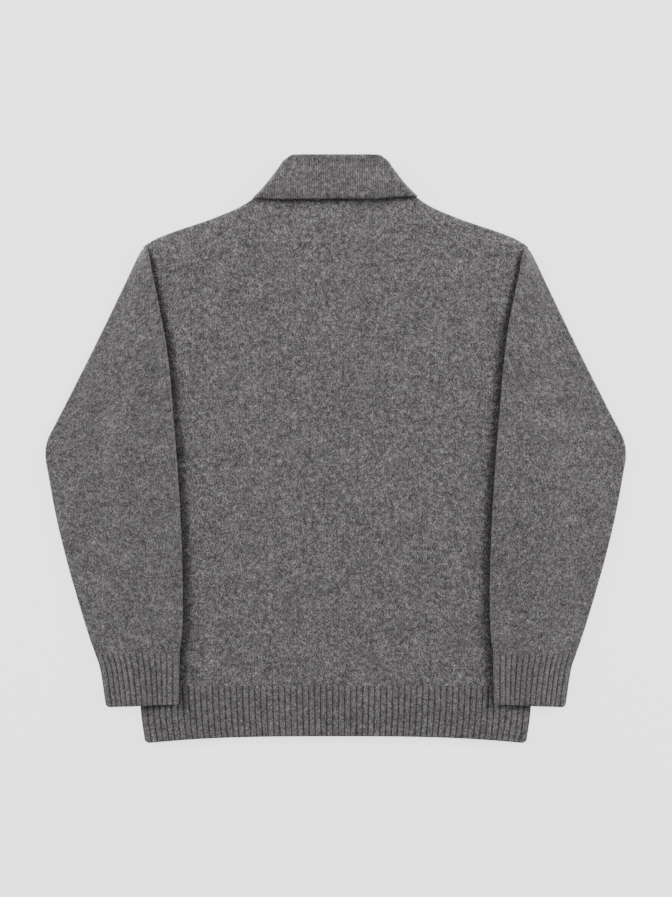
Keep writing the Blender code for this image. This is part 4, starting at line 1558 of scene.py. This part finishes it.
class SWEATER_OT_collar(Operator):
    """Make the turned-down collar"""

    bl_idname = "sweater.collar"
    bl_label = "Collar"

    def execute(self, context):
        scene = context.scene
        cloth, colours, rib = scene.sweater_cloth, scene.sweater_colours, scene.sweater_rib
        fine = rib.collar_wale
        material = wool(
            "collar_wool", colours.collar, colours.melange * COLLAR_MELANGE, fine / FINE_RIB_STITCHES,
            cloth.course, tone=0.92, heather=0.82, fine_rib=fine, shift=23,
        )
        collar, area = make_collar(Layers(cloth), material)
        declare(collar, "collar")
        return {"FINISHED"}


class SWEATER_OT_placket(Operator):
    """Make the placket's bands and its buttons"""

    bl_idname = "sweater.placket"
    bl_label = "Placket and buttons"

    def execute(self, context):
        scene = context.scene
        cloth, colours = scene.sweater_cloth, scene.sweater_colours
        fine = BAND_RIB * MM
        material = wool(
            "band_wool", colours.rib, colours.melange * RIB_MELANGE, fine / FINE_RIB_STITCHES,
            cloth.course, heather=0.8, fine_rib=fine, shift=31,
        )
        upper = COLLAR_LIFT - SLIT_GAP - PLACKET_WALL / 2
        lower = COLLAR_LIFT + cloth.thickness / MM / 2
        wide, foot = PLACKET_HALF + UPPER_BAND_WIDER, YOKE - UPPER_BAND_LOWER
        band, _ = make_band("sweater_upper_band", wide, foot, upper, material)
        declare(band, "placket_upper_band")
        band, _ = make_band("sweater_lower_band", PLACKET_HALF, YOKE + SLIT_GAP, lower, material)
        declare(band, "placket_lower_band")
        satin = horn(colours.button)
        for number in range(1, BUTTON_COUNT + 1):
            y = BUTTON_FIRST_Y - BUTTON_PITCH * (number - 1)
            button = make_button(number, y, satin)
            declare(button, f"button_{number}")
        return {"FINISHED"}


FLOOR_PARTS = 8
FLOOR_LEVEL = -0.0002      # metres; just under the cloth
SENSOR_WIDTH = 36.0
Lamp = namedtuple("Lamp", "name place size share")
LAMPS = [                  # low softboxes on both sides, behind the neck
    Lamp("left_softbox", (-2.4, 1.0, 1.1), (2.0, 1.0), 1.0),
    Lamp("right_softbox", (2.4, 1.0, 1.1), (2.0, 1.0), 1.06),
]


class SWEATER_OT_stage(Operator):
    """Make the floor, the lights and the camera"""

    bl_idname = "sweater.stage"
    bl_label = "Stage"

    def execute(self, context):
        stage = context.scene.sweater_stage
        add_floor(stage)
        add_lights(stage)
        add_camera(stage)
        return {"FINISHED"}


def add_floor(stage):
    bm = bmesh.new()
    bmesh.ops.create_grid(bm, x_segments=FLOOR_PARTS, y_segments=FLOOR_PARTS, size=stage.floor_size / 2)
    bmesh.ops.translate(bm, verts=bm.verts, vec=(0.0, 0.0, FLOOR_LEVEL))
    floor = add_piece("stage_floor", bm, pale_floor(stage.floor_colour, stage.glow))


def add_lights(stage):
    world = bpy.data.worlds.new("studio")
    world.use_nodes = True
    background = world.node_tree.nodes["Background"]
    background.inputs["Color"].default_value = (1.0, 1.0, 1.0, 1.0)
    background.inputs["Strength"].default_value = stage.sky
    bpy.context.scene.world = world
    for lamp in LAMPS:
        light = bpy.data.lights.new(lamp.name, "AREA")
        light.shape = "RECTANGLE"
        light.size, light.size_y = lamp.size
        light.energy = stage.softbox * lamp.share
        softbox = bpy.data.objects.new(lamp.name, light)
        softbox.location = lamp.place
        softbox.rotation_euler = (-softbox.location).to_track_quat("-Z", "Y").to_euler()
        bpy.context.scene.collection.objects.link(softbox)


def add_camera(stage):
    lens = bpy.data.cameras.new("camera")
    lens.sensor_width = SENSOR_WIDTH
    lens.lens = lens.sensor_width * stage.height / stage.frame_height
    camera = bpy.data.objects.new("camera", lens)
    camera.location = (stage.aim[0], stage.aim[1], stage.height)
    bpy.context.scene.collection.objects.link(camera)
    bpy.context.scene.camera = camera


class SWEATER_PT_panel(Panel):
    """Sizes, colours and pieces of the sweater"""

    bl_idname = "SWEATER_PT_panel"
    bl_label = "Polo sweater"
    bl_space_type = "VIEW_3D"
    bl_region_type = "UI"
    bl_category = "Sweater"

    def draw(self, context):
        layout = self.layout
        for group, key in GROUPS.items():
            box = layout.box()
            box.label(text=group.__doc__)
            for name in group.__annotations__:
                box.prop(getattr(context.scene, key), name)
        for operator in OPERATORS:
            layout.operator(operator.bl_idname)


GROUPS = {
    SweaterCloth: "sweater_cloth",
    SweaterRib: "sweater_rib",
    SweaterColours: "sweater_colours",
    SweaterStage: "sweater_stage",
}
OPERATORS = [
    SWEATER_OT_body, SWEATER_OT_hem, SWEATER_OT_sleeves, SWEATER_OT_collar, SWEATER_OT_placket,
    SWEATER_OT_stage,
]


def register():
    for cls in [*GROUPS, *OPERATORS, SWEATER_PT_panel]:
        bpy.utils.register_class(cls)
    for group, key in GROUPS.items():
        setattr(bpy.types.Scene, key, PointerProperty(type=group))


def unregister():
    for key in GROUPS.values():
        delattr(bpy.types.Scene, key)
    for cls in reversed([*GROUPS, *OPERATORS, SWEATER_PT_panel]):
        bpy.utils.unregister_class(cls)


def main():
    register()
    bpy.ops.sweater.body()
    bpy.ops.sweater.hem()
    bpy.ops.sweater.sleeves()
    bpy.ops.sweater.collar()
    bpy.ops.sweater.placket()
    bpy.ops.sweater.stage()


if __name__ == "__main__":
    main()
